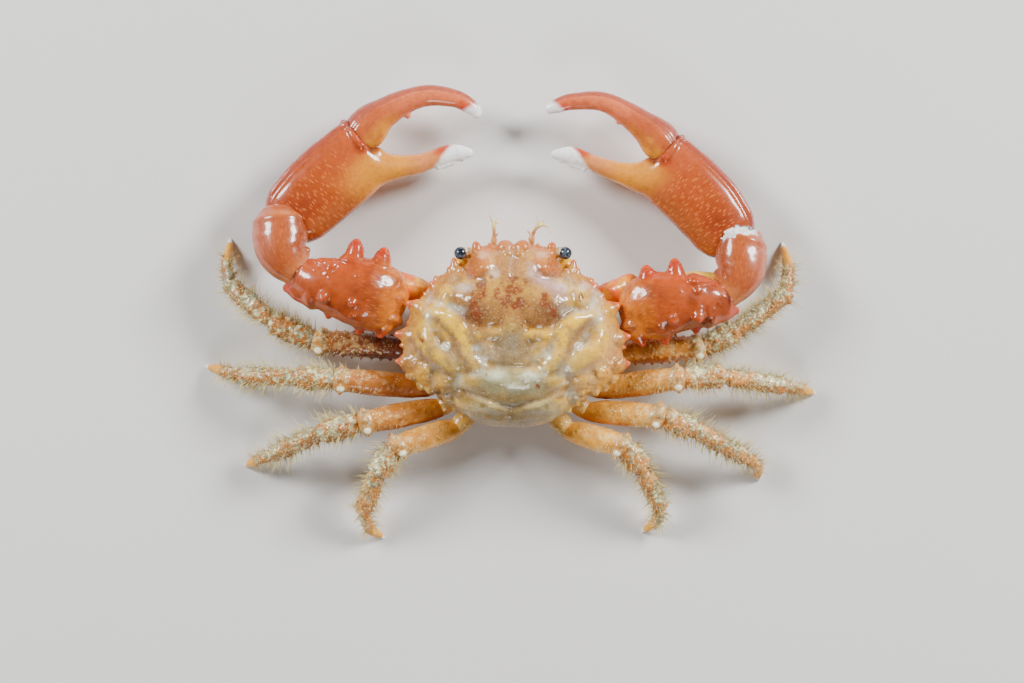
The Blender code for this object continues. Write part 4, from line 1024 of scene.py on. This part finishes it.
def paint_leg(skin, kind, t, side, crust, shell, white, name):
    """Orange at the body, paler outwards; the hind legs are the yellowest, and the right legs are painted
    paler as well, as painted light for the stronger light on that side.
    """
    # The extra paleness of the right legs is painted light, for the stronger light on that side
    pale = min(LEG_PALENESS[name[-1]] + (0.5 if name.startswith("right") else 0.0), 1.0)
    wide, fine = skin.cloud(1.6, 40), skin.cloud(0.5, 41)
    front = side if name.startswith("left") else -side
    skin.tint(shell.leg)
    if pale == 0.0:
        skin.paint(136, 68, 34, 0.85)
    skin.paint(228, 190, 128, pale * (0.65 + 0.35 * ramp(wide, -0.4, 0.4)))
    skin.paint(208, 148, 82, (0.5 - 0.35 * pale) * ramp(t, 0.5, 1.0) * (kind == "merus"))
    skin.paint(222, 200, 160, (0.35 + 0.3 * pale) * ramp(fine + 0.5 * wide, 0.0, 0.5) * ramp(t, 0.1, 0.6))
    rust = 0.5 * ramp(skin.cloud(0.7, 42), 0.3, 0.6) * (1 - crust)
    skin.paint(166, 84, 36, (1 - 0.5 * pale) * rust)
    skin.paint(222, 186, 126, 0.6 * ramp(t, 0.86, 0.92) * (kind == "merus"))
    skin.paint(204, 148, 92, 0.9 * crust)
    cover = ramp(fine + 0.4 * wide + (0.6 if pale > 0.4 else 0.2) * front, -0.3, 0.2)
    skin.tint(shell.crust, crust * cover)
    skin.paint(226, 222, 196, crust * cover * 0.9 * ramp(skin.cloud(0.4, 43), 0.05, 0.4))
    skin.paint(122, 100, 68, crust * 0.5 * ramp(skin.cloud(0.5, 46), 0.2, 0.55))
    skin.paint(198, 124, 68, crust * 0.45 * ramp(skin.cloud(1.3, 44), 0.25, 0.6))
    if pale > 0.6:
        skin.paint(226, 168, 100, 0.6 * crust * ramp(skin.cloud(1.6, 47), -0.1, 0.3))
    skin.paint(166, 190, 194, crust * cover * 0.7 * ramp(skin.cloud(0.7, 45), 0.5, 0.75))
    if kind == "dactyl":
        skin.paint(224, 184, 118, ramp(t + 0.05 * fine, 0.4, 0.6))
        skin.paint(236, 240, 240, ramp(t, 0.86, 0.92))
    if kind == "coxa":
        skin.paint(206, 176, 112, 0.75)
    if white is not None:
        skin.paint(238, 230, 204, skin.near(white, 0.62))


class Coat:
    """Bristles of one leg as one mesh: thin, curved, tapered, three-sided."""

    LEVELS = 5
    ROOT_DEPTH = 0.08

    def __init__(self):
        self.points, self.faces, self.uv, self.along, self.count = [], [], [], [], 0

    def grow(self, skin, limb, kind, order, t, side, top, bristle, rng):
        """Roots bristles on a finished leg part."""
        if kind not in LEG_HAIR:
            return
        normal = skin.normals()
        longest = bristle.longest / MM
        girth = 2 * math.pi * float(np.mean(np.hypot(limb.width, limb.height)) / math.sqrt(2))
        number = int(girth * limb.length * bristle.per_area * LEG_HAIR[kind])
        weight = np.where(top < -0.5, 0.4, 1.0) * (0.35 + 0.65 * ramp(abs(side), 0.3, 0.8))
        if kind == "merus":
            weight *= ramp(t, 0.45, 0.85) * ramp(top, 0.0, 0.6)
        if kind == "dactyl":
            weight *= 1 - ramp(t, 0.5, 0.72)
        weight *= (t > 0.03) & (t < 0.98)
        pick = rng.choice(len(t), number, p=weight / weight.sum())
        edge = abs(side[pick])
        draw = rng.random(number)
        length = np.where(draw < 0.25, rng.uniform(0.08, 0.18, number), rng.uniform(0.3, 0.65, number))
        length = np.where(draw > 0.82, rng.uniform(0.65, 1.0, number), length)
        length = length * longest * (0.5 + 0.5 * edge)
        if kind == "merus":
            length *= 0.5
        if kind == "dactyl":
            length *= 0.85
        row = np.clip((t[pick] * (LIMB_ROWS - 1)).astype(int), 0, LIMB_ROWS - 1)
        heading = limb.heading[row]
        lift = (0.6 * top[pick] + 0.15)[:, None]
        outward = unit(limb.side[row] * side[pick][:, None] + limb.top[row] * lift)
        aim = unit(0.3 * normal[pick] + 0.9 * outward + heading * rng.normal(0.3, 0.25, number)[:, None]
                   + rng.normal(0, 0.18, (number, 3)))
        curve = unit(heading + rng.normal(0, 0.5, (number, 3)))
        curve = curve * (rng.uniform(0.02, 0.3, number) * length)[:, None]
        root = skin.points[pick] - normal[pick] * self.ROOT_DEPTH
        radius = np.clip(0.036 + 0.01 * length, 0.032, 0.06) * rng.uniform(0.8, 1.2, number)
        turn = np.arctan2(top[pick], side[pick]) / (2 * math.pi) % 1.0
        along = (order + np.clip(t[pick], 0, 1)) / len(LEG_PARTS)
        self.add(root, aim, curve, length, radius, along, turn)

    def add(self, root, aim, curve, length, radius, u, v):
        """Adds one bristle for each root; u and v give its place on the map for baking."""
        number, levels = len(root), self.LEVELS
        across = unit(np.cross(aim, UP + 0.01))
        other = np.cross(aim, across)
        share = np.arange(levels) / levels
        spots, patch, along = [], [], []
        for s in share:
            middle = root + aim * (length * s)[:, None] + curve * s**2
            for k in range(3):
                angle = 2 * math.pi * k / 3
                thick = (radius * (1 - 0.85 * s))[:, None]
                spots.append(middle + thick * (across * math.cos(angle) + other * math.sin(angle)))
                patch.append(np.stack([u + 0.001 * k, v + 0.003 * s], axis=1))
                along.append(np.full(number, s))
        spots.append(root + aim * length[:, None] + curve)
        patch.append(np.stack([u + 0.001, v + 0.003], axis=1))
        along.append(np.ones(number))
        size = 3 * levels + 1
        faces = [(0, 2, 1, 1)]
        for i in range(levels - 1):
            for k in range(3):
                j = (k + 1) % 3
                faces.append((3 * i + k, 3 * i + j, 3 * i + 3 + j, 3 * i + 3 + k))
        for k in range(3):
            faces.append((3 * levels - 3 + k, 3 * levels - 3 + (k + 1) % 3, 3 * levels, 3 * levels))
        start = self.count + size * np.arange(number)
        self.points.append(np.stack(spots, axis=1).reshape(-1, 3))
        self.uv.append(np.stack(patch, axis=1).reshape(-1, 2))
        self.along.append(np.stack(along, axis=1).ravel())
        self.faces.append((start[:, None, None] + np.array(faces)).reshape(-1, 4))
        self.count += size * number

    def make(self, name, material):
        points = (np.concatenate(self.points) + SHIFT) * MM
        points[:, 2] = np.maximum(points[:, 2], 0.0001)
        quads = np.concatenate(self.faces).tolist()
        faces = [face[:3] if face[2] == face[3] else face for face in quads]
        data = bpy.data.meshes.new(name)
        data.from_pydata(points.tolist(), [], faces)
        corner = read(data.loops, "vertex_index", 1, np.int32).ravel()
        layer = data.uv_layers.new(name="OFBake")
        layer.data.foreach_set("uv", np.concatenate(self.uv)[corner].astype(np.float32).ravel())
        along = data.attributes.new("along", "FLOAT", "POINT")
        along.data.foreach_set("value", np.concatenate(self.along).astype(np.float32))
        settle(name, data, material, "legs")


def bristle_finish(colour):
    made = Finish("bristle_finish", 0.45, 0.0, 0.1)
    base = tuple(0.7 * c for c in colour)
    tip = tuple(min(1.0, 1.25 * c) for c in colour)
    cream = made.mix(made.span(made.mark("along"), 0.0, 0.8), base, tip)
    share = made.span(made.noise(0.8, 2), 0.4, 0.7)
    made.join("Base Color", made.mix(share, cream, (0.75, 0.62, 0.45), "MULTIPLY"))
    made.join("Normal", made.bump(made.noise(0.06, 2), 0.01))
    return made.material


def arm_limbs(side):
    points, scale = ARMS[side], ARM_SCALE[side]
    wrist = joint_normal(points["merus"][2], points["merus"][3], points["carpus"][1])
    limbs = {}
    for kind in ARM_PROFILE:
        start = wrist if kind == "carpus" else None
        end = wrist if kind == "merus" else None
        size = 1.0 if kind == "ischium" else scale
        power = 2.3 if kind == "palm" else 2.0
        limbs[kind] = Limb(points[kind], ARM_PROFILE[kind], start, end, size, power)
    return limbs


def make_claw_part(skin, side, kind, finish, *lay):
    """Makes a part of the claw; lay is the place across and along it in the streaks' own size, and up."""
    skin.mark("lay", np.stack(lay, axis=1) * MM)
    skin.make(f"{side}_claw_{kind}_shell", finish, "claws", f"{side}_claw_{kind}")


def build_claw_merus(side, limb, shell, finish):
    way = WAY[side]
    shapes = [limb.shape(48, bulge=0.25)]
    teeth = []
    for order, (x, y, z, radius) in enumerate(ARMS[side]["teeth"]):
        tip = np.array((x, y, z))
        middle = limb.centre[np.linalg.norm(limb.centre - tip, axis=1).argmin()]
        root = tip + unit(middle - tip) * 3.4 * radius
        wide, blunt = (1.5, 0.8) if order < 2 else (1.9, 0.75)
        shapes.append(horn(root, tip, radius * wide, radius * blunt, 1.5))
        teeth.append((tip, radius if order < 7 else 0.4 * radius))
    if side == "right":
        ledge = ((19.4, 3.9, 6.4), (21.5, 4.5, 6.3), (24.0, 4.35, 6.2))
        shapes.append(Limb(ledge, ((0.0, 0.7, 0.7), (1.0, 0.75, 0.7)), rows=20).shape(16, bulge=0.9))
    corner = limb.centre[60] + way * limb.side[60] * 0.8 * limb.width[60]
    tip = corner + limb.heading[60] * 1.5 + way * limb.side[60] * 0.5
    shapes.append(horn(limb.centre[52] + way * limb.side[52] * 1.3, tip, 1.8, 0.65, 1.3))
    lobe = limb.centre[61] - way * limb.side[61] * 0.62 * limb.width[61] + UP * 0.9
    tip = lobe + limb.heading[61] * 0.5
    shapes.append(horn(limb.centre[46] - way * limb.side[46] * 1.6 + UP, tip, 1.5, 0.7, 1.2))
    skin = Skin(shapes, shell.grain / MM, 6)
    t, across, top = limb.locate(skin.points)
    inner = -across * way
    lumps = 0.1 * skin.cloud(2.2, 50, 2) + 0.02 * skin.cloud(0.8, 51)
    valley = peak(inner - 0.3, 0.4 * t, 0.16) * ramp(t, 0.45, 0.75) * ramp(top, 0.2, 0.6)
    pearls = 0.16 * skin.beads(1.5, 0.3, 52)
    skin.push(lumps - 0.25 * valley + pearls * ramp(top, 0.0, 0.5) * ramp(t, 0.2, 0.5))
    skin.tint(shell.claw)
    skin.paint(222, 160, 86, 0.85 * ramp(t + 0.06 * skin.cloud(1.5, 54), 0.4, 0.08))
    skin.paint(206, 128, 98, 0.5 * ramp(t, 0.65, 0.95))
    skin.paint(168, 82, 48, 0.65 * ramp(skin.cloud(1.8, 53), -0.1, 0.5))
    skin.paint(214, 118, 76, 0.5 * ramp(inner, 0.4, 0.8) * ramp(t, 0.25, 0.5))
    if side == "right":
        low = 0.9 * ramp(skin.points[:, 2], 8.2, 7.4)
        skin.paint(232, 204, 136, low * ramp(inner, 0.75, 0.9) * ramp(t, 0.5, 0.6))
    for tip, radius in teeth:
        skin.paint(204, 90, 56, 0.8 * skin.near(tip, 2.6 * radius))
        skin.paint(228, 136, 106, 0.4 * skin.near(tip, 0.9 * radius))
    skin.paint(112, 30, 20, 0.9 * ramp(t, 0.985, 1.01) * ramp(abs(across + way * 0.1), 0.75, 0.45))
    skin.mark("speck", 0.7 * ramp(t, 0.55, 0.2) * ramp(top, -0.2, 0.3))
    make_claw_part(skin, side, "merus", finish, across * 4.0 / 0.4, t * limb.length / 1.4, top)


def build_claw_carpus(side, limb, shell, finish):
    way = WAY[side]
    shapes = [limb.shape(48, 0.4, 0.35)]
    knob = limb.point(0.12, math.pi if way > 0 else 0.0)
    shapes.append(horn(limb.centre[8], knob + unit(knob - limb.centre[8]) * 0.5, 1.1, 0.5, 1.2))
    skin = Skin(shapes, shell.grain / MM, 6)
    t, across, top = limb.locate(skin.points)
    outer = across * way
    fine = skin.cloud(0.45, 61)
    skin.push(0.07 * skin.cloud(2.2, 60, 2) + 0.15 * peak(t, 0.86, 0.05))
    skin.paint(198, 118, 80)
    skin.paint(184, 96, 62, 0.7 * ramp(outer, -0.1, -0.8))
    # Pinkish-mauve outer side, in part a painted sheen
    skin.paint(204, 138, 118, 0.7 * ramp(outer, 0.0, 0.6) * ramp(t, 0.2, 0.5))
    skin.paint(210, 150, 108, 0.6 * ramp(t, 0.22, 0.05))
    # Painted highlight along the inner part of the raised rim near the far end
    skin.paint(226, 170, 130, 0.4 * peak(t, 0.9, 0.05) * ramp(outer, 0.6, 0.0))
    if side == "right":
        chipped = ramp(t + 0.06 * fine - 0.13 * outer, 0.88, 0.9)
        chipped = chipped * ramp(top, -0.3, 0.2) * ramp(outer, 0.7, 0.5)
        skin.push(-0.35 * ramp(fine, -0.2, 0.4) * chipped)
        skin.paint(240, 238, 222, 0.95 * chipped)
        skin.paint(64, 56, 60, 0.85 * ramp(t, 1.0, 1.03) * ramp(outer, 0.8, 0.4))
    skin.mark("speck", 0.5 * ramp(top, -0.2, 0.3) * (1 - ramp(t, 0.75, 0.85)))
    make_claw_part(skin, side, "carpus", finish, across * 3.0 / 0.4, t * limb.length / 1.4, top)


def build_claw_palm(side, limbs, shell, finish):
    """The palm with its fixed finger, which ends in a white spoon with a scalloped inner rim."""
    palm, finger = limbs["palm"], limbs["fixed_finger"]
    way = WAY[side]
    shapes = [palm.shape(56, bulge=0.3), finger.shape(36, bulge=0.9)]
    inward = unit(np.cross(finger.heading, UP)) * -way
    for row, reach, radius in ((47, 0.35, 0.85), (52, 0.3, 0.95), (56, 0.15, 0.9)):
        shapes.append(ball(finger.centre[row] + inward[row] * reach, radius, 0.8))
    for row, reach in ((44, 1.2), (47, 1.2), (50, 1.2), (53, 1.2), (56, 0.8), (59, 0.8)):
        shapes.append(ball(finger.centre[row] + inward[row] * reach, 0.36))
    rim = [palm.point(row, math.acos(way * share))
           for row, share in ((1.0, 0.98), (1.0, 0.7), (0.99, 0.45), (0.97, 0.2))]
    shapes.append(Limb(rim, ((0.0, 0.4), (0.7, 0.5), (1.0, 0.4)), rows=30).shape(16, bulge=0.9))
    socket = palm.point(0.98, math.acos(way * 0.13))
    shapes.append(ball(socket, 0.55))
    hinge = palm.centre[63] + palm.heading[63] * 1.0 - way * palm.side[63] * 1.1 + UP * 0.9
    shapes.append(ball(hinge, 0.8))
    skin = Skin(shapes, shell.grain / MM, 14)
    t, across, top = palm.locate(skin.points)
    outer = across * way
    tf, across_f, _ = finger.locate(skin.points)
    on_finger = ramp(tf, 0.25, 0.4)
    keel = peak(outer, 0.9, 0.06)
    valley = peak(outer, 0.78, 0.07) * ramp(top, -0.2, 0.3)
    fold = (0.2 * keel - 0.1 * valley) * (1 - on_finger) * ramp(t, 0.05, 0.2)
    skin.push(0.06 * skin.cloud(2.5, 70, 2) + fold)
    crotch = ramp(t, 0.8, 0.9) * ramp(outer, 0.15, -0.1) * ramp(tf, 0.5, 0.4)
    skin.relax(110, 0.6 * crotch[:, None])
    wide = skin.cloud(2.2, 71)
    skin.tint(shell.claw)
    skin.paint(206, 122, 88, 0.7 * ramp(t + 0.1 * wide, 0.5, 0.95))
    skin.paint(172, 80, 36, 0.8 * (1 - ramp(np.hypot(t - 0.2, 0.4 * (outer + 0.05)), 0.05, 0.32)))
    skin.paint(196, 132, 84, 0.5 * ramp(outer, -0.3, -0.8))
    first, last = (0.72, 0.97) if side == "right" else (0.45, 0.85)
    crotch_side = 0.9 * ramp(outer + 0.1 * wide, 0.25, -0.5)
    skin.tint(shell.claw_light, crotch_side * ramp(t + 0.08 * outer, first, last))
    skin.tint(shell.claw_light, 0.8 * on_finger)
    skin.paint(214, 160, 126, 0.75 * on_finger * ramp(tf, 0.35, 0.6))
    # Mauve outer rim, in part a painted sheen along the keel
    skin.tint(shell.claw_rim_and_sheen, 0.8 * ramp(outer, 0.72, 0.95) * (1 - on_finger))
    skin.paint(120, 34, 22, 0.85 * ramp(t, 1.005, 1.02) * ramp(outer, -0.35, -0.1) * (1 - on_finger))
    skin.paint(196, 96, 62, 0.8 * skin.near(socket, 1.3))
    tip_red = ramp(tf, 0.66, 0.76) * ramp(across_f * way, -0.2, 0.5)
    skin.paint(206, 92, 58, 0.85 * tip_red * (1 - ramp(tf, 0.9, 0.98)))
    spoon = ramp(tf - 0.1 * np.clip(across_f * way, -1, 1) + 0.02 * wide, 0.72, 0.8)
    skin.tint(shell.claw_tip, spoon)
    specks = 0.85 * ramp(top, 0.0, 0.5) * ramp(outer, 0.6, 0.35) * (1 - on_finger)
    skin.mark("speck", specks * ramp(t, 0.9, 0.75))
    make_claw_part(skin, side, "palm", finish, t * palm.length / 0.4, outer * 4.4 / 1.4, top)


def build_claw_dactyl(side, limb, shell, finish):
    way = WAY[side]
    bite = ARMS[side]["bite"]
    skin = Skin([limb.shape(40, 0.5, 0.9), ball(bite, 0.45)], shell.grain / MM, 5)
    t, across, top = limb.locate(skin.points)
    outer = across * way
    groove = peak(outer, 0.55, 0.1) * ramp(top, 0, 0.3) * ramp(t, 0.9, 0.7)
    skin.push(0.05 * skin.cloud(2.2, 80, 2) + 0.1 * ramp(outer, 0.7, 1.0) - 0.1 * groove)
    skin.paint(204, 124, 88)
    skin.paint(220, 150, 122, 0.85 * ramp(t, 0.2, 0.5))
    skin.tint(shell.claw_light, 0.9 * ramp(outer, 0.0, -0.7) * ramp(t, 0.4, 0.15))
    # Mauve outer rim, in part a painted sheen
    skin.tint(shell.claw_rim_and_sheen, 0.75 * ramp(outer, 0.3, 0.85))
    skin.paint(200, 112, 86, 0.5 * ramp(skin.cloud(1.8, 81), 0.1, 0.6))
    skin.paint(216, 104, 72, 0.8 * ramp(t, 0.8, 0.9) * ramp(outer, 0.5, -0.3))
    skin.tint(shell.claw_tip, ramp(t - 0.03 * outer, 0.9, 0.95))
    skin.paint(230, 170, 150, skin.near(bite, 0.7))
    skin.mark("speck", 0.25 * ramp(top, 0.2, 0.6) * ramp(t, 0.8, 0.6))
    make_claw_part(skin, side, "dactyl", finish, outer * 2.0 / 0.3, t * limb.length / 1.8, top)


def build_claw_ischium(side, limb, shell, finish):
    skin = Skin([limb.shape(40, 0.3, 0.8)], shell.grain / MM, 2)
    t, across, top = limb.locate(skin.points)
    skin.push(0.05 * skin.cloud(1.5, 90))
    skin.paint(228, 148, 80)
    skin.paint(240, 196, 140, 0.7 * ramp(skin.cloud(1.8, 91), 0.0, 0.6))
    skin.mark("speck", 0.4)
    make_claw_part(skin, side, "ischium", finish, across * 2.0 / 0.4, t * limb.length / 1.4, top)


def build_eye(side, cornea, stalk_finish):
    centre, root = (np.array(point) for point in EYES[side])
    globe = Skin([ball(centre, EYE_RADIUS)], FINEST_MESH, 4)
    globe.points = centre + unit(globe.points - centre) * EYE_RADIUS
    globe.make(f"eye_{side}_globe", cornea, "eyes", f"eye_{side}")
    inner = root + (centre - root) * 0.78
    stalk = Limb((root, inner), ((0.0, 0.5, 0.5), (0.5, 0.62, 0.6), (1.0, 0.74, 0.72)), rows=20)
    stalk = Skin([stalk.shape(20)], FINE_MESH, 2)
    stalk.paint(206, 158, 96)
    stalk.paint(226, 214, 190, ramp(stalk.cloud(0.5, 100), -0.2, 0.4))
    stalk.mark("speck", 0.0)
    stalk.make(f"eye_{side}_stalk", stalk_finish, "eyes")


def cornea_finish():
    made = Finish("cornea_finish", 0.12, 1.0)
    colour = made.mix(made.span(made.noise(0.5, 2), 0.4, 0.65), (0.012, 0.016, 0.022), (0.08, 0.11, 0.15))
    made.join("Base Color", colour)
    made.join("Normal", made.bump(made.dots(0.06), 0.004))
    return made.material


def build_feeler(side, finish):
    """One feeler: a knobbed base, a waisted shaft and a fine curved lash with side hairs."""
    feeler = Limb(ANTENNAE[side], FEELER_RADIUS)
    way = WAY[side]
    shapes = [feeler.shape(16)]
    for row, reach in FEELER_HAIRS:
        fork = feeler.centre[row]
        shapes.append(horn(fork, fork + np.array(reach) * (-way, 1, 1), 0.1, 0.07, 1.0))
    skin = Skin(shapes, FINEST_MESH, 1)
    t = feeler.locate(skin.points)[0]
    skin.paint(216, 176, 130)
    skin.paint(204, 134, 92, 0.6 * peak(t, 0.52, 0.06))
    skin.paint(226, 208, 172, ramp(t, 0.55, 0.75))
    skin.mark("speck", 0.3)
    skin.make(f"antenna_{side}_feeler", finish, "feelers", f"antenna_{side}")


def build_thorax(shell, finish):
    turn = 2 * math.pi * np.arange(THORAX_COLUMNS) / THORAX_COLUMNS
    reach = reach_at(turn, THORAX_OUTLINE)
    rings = [body_ring(turn, share * reach, height) for share, height in THORAX_RINGS]
    skin = Skin([rings_shape(rings)], shell.grain / MM * 1.3, 6)
    x, y, _ = (skin.points - SHELL_CENTRE).T
    half = np.stack([abs(x), y], axis=1)
    grooves = [peak(gap_to_line(half, np.array(line)), 0.0, 0.3) for line in THORAX_GROOVES]
    groove = np.max(grooves, axis=0)
    below = ramp(skin.points[:, 2], 4.6, 3.9)
    skin.push(-0.35 * groove * below + 0.05 * skin.cloud(1.4, 110))
    skin.tint(shell.under)
    skin.paint(176, 110, 66, 0.6 * groove)
    skin.paint(216, 152, 100, 0.5 * ramp(skin.cloud(2.0, 111), 0.0, 0.6))
    skin.mark("speck", 0.3)
    skin.make("sternum", finish, "underside", "thorax")


def build_pleon(shell, finish):
    limb = Limb(((0.0, -12.6, 3.6), (0.0, -10.0, 2.6), (0.0, -2.6, 2.4)),
                ((0.0, 1.6, 0.3), (0.25, 2.4, 0.42), (0.6, 1.9, 0.42), (0.9, 1.1, 0.36), (1.0, 0.6, 0.3)))
    skin = Skin([limb.shape(32, bulge=0.9)], shell.grain / MM, 2)
    t = limb.locate(skin.points)[0]
    seam = peak((t * 6.5 + 0.5) % 1, 0.5, 0.09)
    skin.push(-0.12 * seam + 0.03 * skin.cloud(1.0, 120))
    skin.tint(shell.under)
    skin.paint(176, 110, 66, 0.6 * seam)
    skin.mark("speck", 0.2)
    skin.make("pleon_plates", finish, "underside", "pleon")


def build_mouth_flap(side, shell, finish):
    way = WAY[side]
    limb = Limb(((way * 1.35, 3.9, 2.6), (way * 1.35, 6.6, 4.0), (way * 1.35, 7.0, 5.4)),
                ((0.0, 0.9, 0.35), (0.4, 1.15, 0.5), (0.62, 1.1, 0.42), (0.68, 1.15, 0.52),
                 (1.0, 1.0, 0.35)))
    palp = Limb(((way * 0.7, 7.35, 5.5), (way * 0.55, 7.6, 4.6), (way * 0.9, 7.1, 3.8)),
                ((0.0, 0.3), (0.5, 0.28), (1.0, 0.14)), rows=20)
    skin = Skin([limb.shape(28, bulge=0.6), palp.shape(14)], shell.grain / MM, 2)
    skin.push(0.03 * skin.cloud(0.8, 130))
    skin.paint(210, 150, 96)
    skin.mark("speck", 0.3)
    skin.make(f"mouth_flap_{side}_plate", finish, "underside", f"mouth_flap_{side}")


class CrabCarapace(bpy.types.Operator):
    """Build the ridged carapace with its teeth, beads and knobs"""

    bl_idname = "crab.carapace"
    bl_label = "Carapace"

    def execute(self, context):
        build_carapace(context.scene.crab_shell)
        return {"FINISHED"}


class CrabClaws(bpy.types.Operator):
    """Build both claws, from the ischium to the two fingers"""

    bl_idname = "crab.claws"
    bl_label = "Claws"

    def execute(self, context):
        shell = context.scene.crab_shell
        finish = shell_finish("claw_finish", 0.34, 0.9, shade(226, 166, 124), True, 0.015, 0.14)
        for side in ARMS:
            limbs = arm_limbs(side)
            build_claw_ischium(side, limbs["ischium"], shell, finish)
            build_claw_merus(side, limbs["merus"], shell, finish)
            build_claw_carpus(side, limbs["carpus"], shell, finish)
            build_claw_palm(side, limbs, shell, finish)
            build_claw_dactyl(side, limbs["dactyl"], shell, finish)
        return {"FINISHED"}


class CrabLegs(bpy.types.Operator):
    """Build the eight walking legs and their bristles"""

    bl_idname = "crab.legs"
    bl_label = "Walking Legs"

    def execute(self, context):
        shell, bristle = context.scene.crab_shell, context.scene.crab_bristle
        finish = shell_finish("leg_finish", 0.42, 0.5, shade(232, 222, 188), pits=0.05)
        hair = bristle_finish(tuple(bristle.colour))
        rng = np.random.default_rng(bristle.seed)
        for name in LEGS:
            build_leg(name, shell, bristle, finish, hair, rng)
        return {"FINISHED"}


class CrabHead(bpy.types.Operator):
    """Build the stalked eyes and the feelers"""

    bl_idname = "crab.head"
    bl_label = "Eyes and Feelers"

    def execute(self, context):
        cornea = cornea_finish()
        soft = shell_finish("feeler_finish", 0.4, 0.4)
        for side in EYES:
            build_eye(side, cornea, soft)
            build_feeler(side, soft)
        return {"FINISHED"}


class CrabUnderside(bpy.types.Operator):
    """Build the sternum, the folded tail and the mouth plates"""

    bl_idname = "crab.underside"
    bl_label = "Underside"

    def execute(self, context):
        shell = context.scene.crab_shell
        finish = shell_finish("underside_finish", 0.42, 0.5)
        build_thorax(shell, finish)
        build_pleon(shell, finish)
        for side in WAY:
            build_mouth_flap(side, shell, finish)
        return {"FINISHED"}


def add_lamp(name, place, power):
    """A square lamp that faces the crab."""
    data = bpy.data.lights.new(name, "AREA")
    data.size = LAMP_SIZE
    data.energy = power
    made = bpy.data.objects.new(name, data)
    bpy.context.scene.collection.objects.link(made)
    made.location = place
    made.rotation_euler = (-made.location).to_track_quat("-Z", "Y").to_euler()


class CrabStage(bpy.types.Operator):
    """Set up the floor, the soft light and the camera over the crab"""

    bl_idname = "crab.stage"
    bl_label = "Stage"

    def execute(self, context):
        stage = context.scene.crab_stage
        data = bpy.data.meshes.new("floor")
        corners = [(x * FLOOR_HALF, y * FLOOR_HALF, 0) for x, y in ((-1, -1), (1, -1), (1, 1), (-1, 1))]
        data.from_pydata(corners, [], [(0, 1, 2, 3)])
        floor = bpy.data.objects.new("floor", data)
        context.scene.collection.objects.link(floor)
        made = Finish("floor_finish", 0.75)
        pale = tuple(stage.floor)
        made.join("Base Color", made.mix(made.noise(40.0, 2), pale, tuple(0.97 * c for c in pale)))
        data.materials.append(made.material)
        for name, (place, share) in LAMPS.items():
            add_lamp(name, place, share * stage.power)
        world = bpy.data.worlds.new("studio")
        world.use_nodes = True
        sky = world.node_tree.nodes["Background"]
        sky.inputs["Color"].default_value = (1.0, 1.0, 1.0, 1.0)
        sky.inputs["Strength"].default_value = SKY_LIGHT
        context.scene.world = world
        camera = bpy.data.cameras.new("camera")
        camera.lens = LENS
        camera.sensor_width = SENSOR
        view = bpy.data.objects.new("camera", camera)
        context.scene.collection.objects.link(view)
        view.location = (*CAMERA_OVER, stage.distance)
        context.scene.camera = view
        return {"FINISHED"}


OPERATORS = (CrabCarapace, CrabClaws, CrabLegs, CrabHead, CrabUnderside, CrabStage)
SETTINGS = {
    "crab_shell": CrabShellSettings,
    "crab_bristle": CrabBristleSettings,
    "crab_stage": CrabStageSettings,
}


class CrabPanel(bpy.types.Panel):
    """Settings of the crab, and a button for each group of its pieces"""

    bl_idname = "VIEW3D_PT_crab"
    bl_label = "Ridged Clinging Crab"
    bl_space_type = "VIEW_3D"
    bl_region_type = "UI"
    bl_category = "Crab"

    def draw(self, context):
        for name, group in SETTINGS.items():
            box = self.layout.box()
            box.label(text=group.__doc__)
            for key in group.__annotations__:
                box.prop(getattr(context.scene, name), key)
        for operator in OPERATORS:
            self.layout.operator(operator.bl_idname)


def register():
    for group in (*SETTINGS.values(), *OPERATORS, CrabPanel):
        bpy.utils.register_class(group)
    for name, group in SETTINGS.items():
        setattr(bpy.types.Scene, name, PointerProperty(type=group))


def unregister():
    for name in SETTINGS:
        delattr(bpy.types.Scene, name)
    for group in reversed((*SETTINGS.values(), *OPERATORS, CrabPanel)):
        bpy.utils.unregister_class(group)


def main():
    register()
    bpy.ops.crab.carapace()
    bpy.ops.crab.claws()
    bpy.ops.crab.legs()
    bpy.ops.crab.head()
    bpy.ops.crab.underside()
    bpy.ops.crab.stage()


if __name__ == "__main__":
    main()
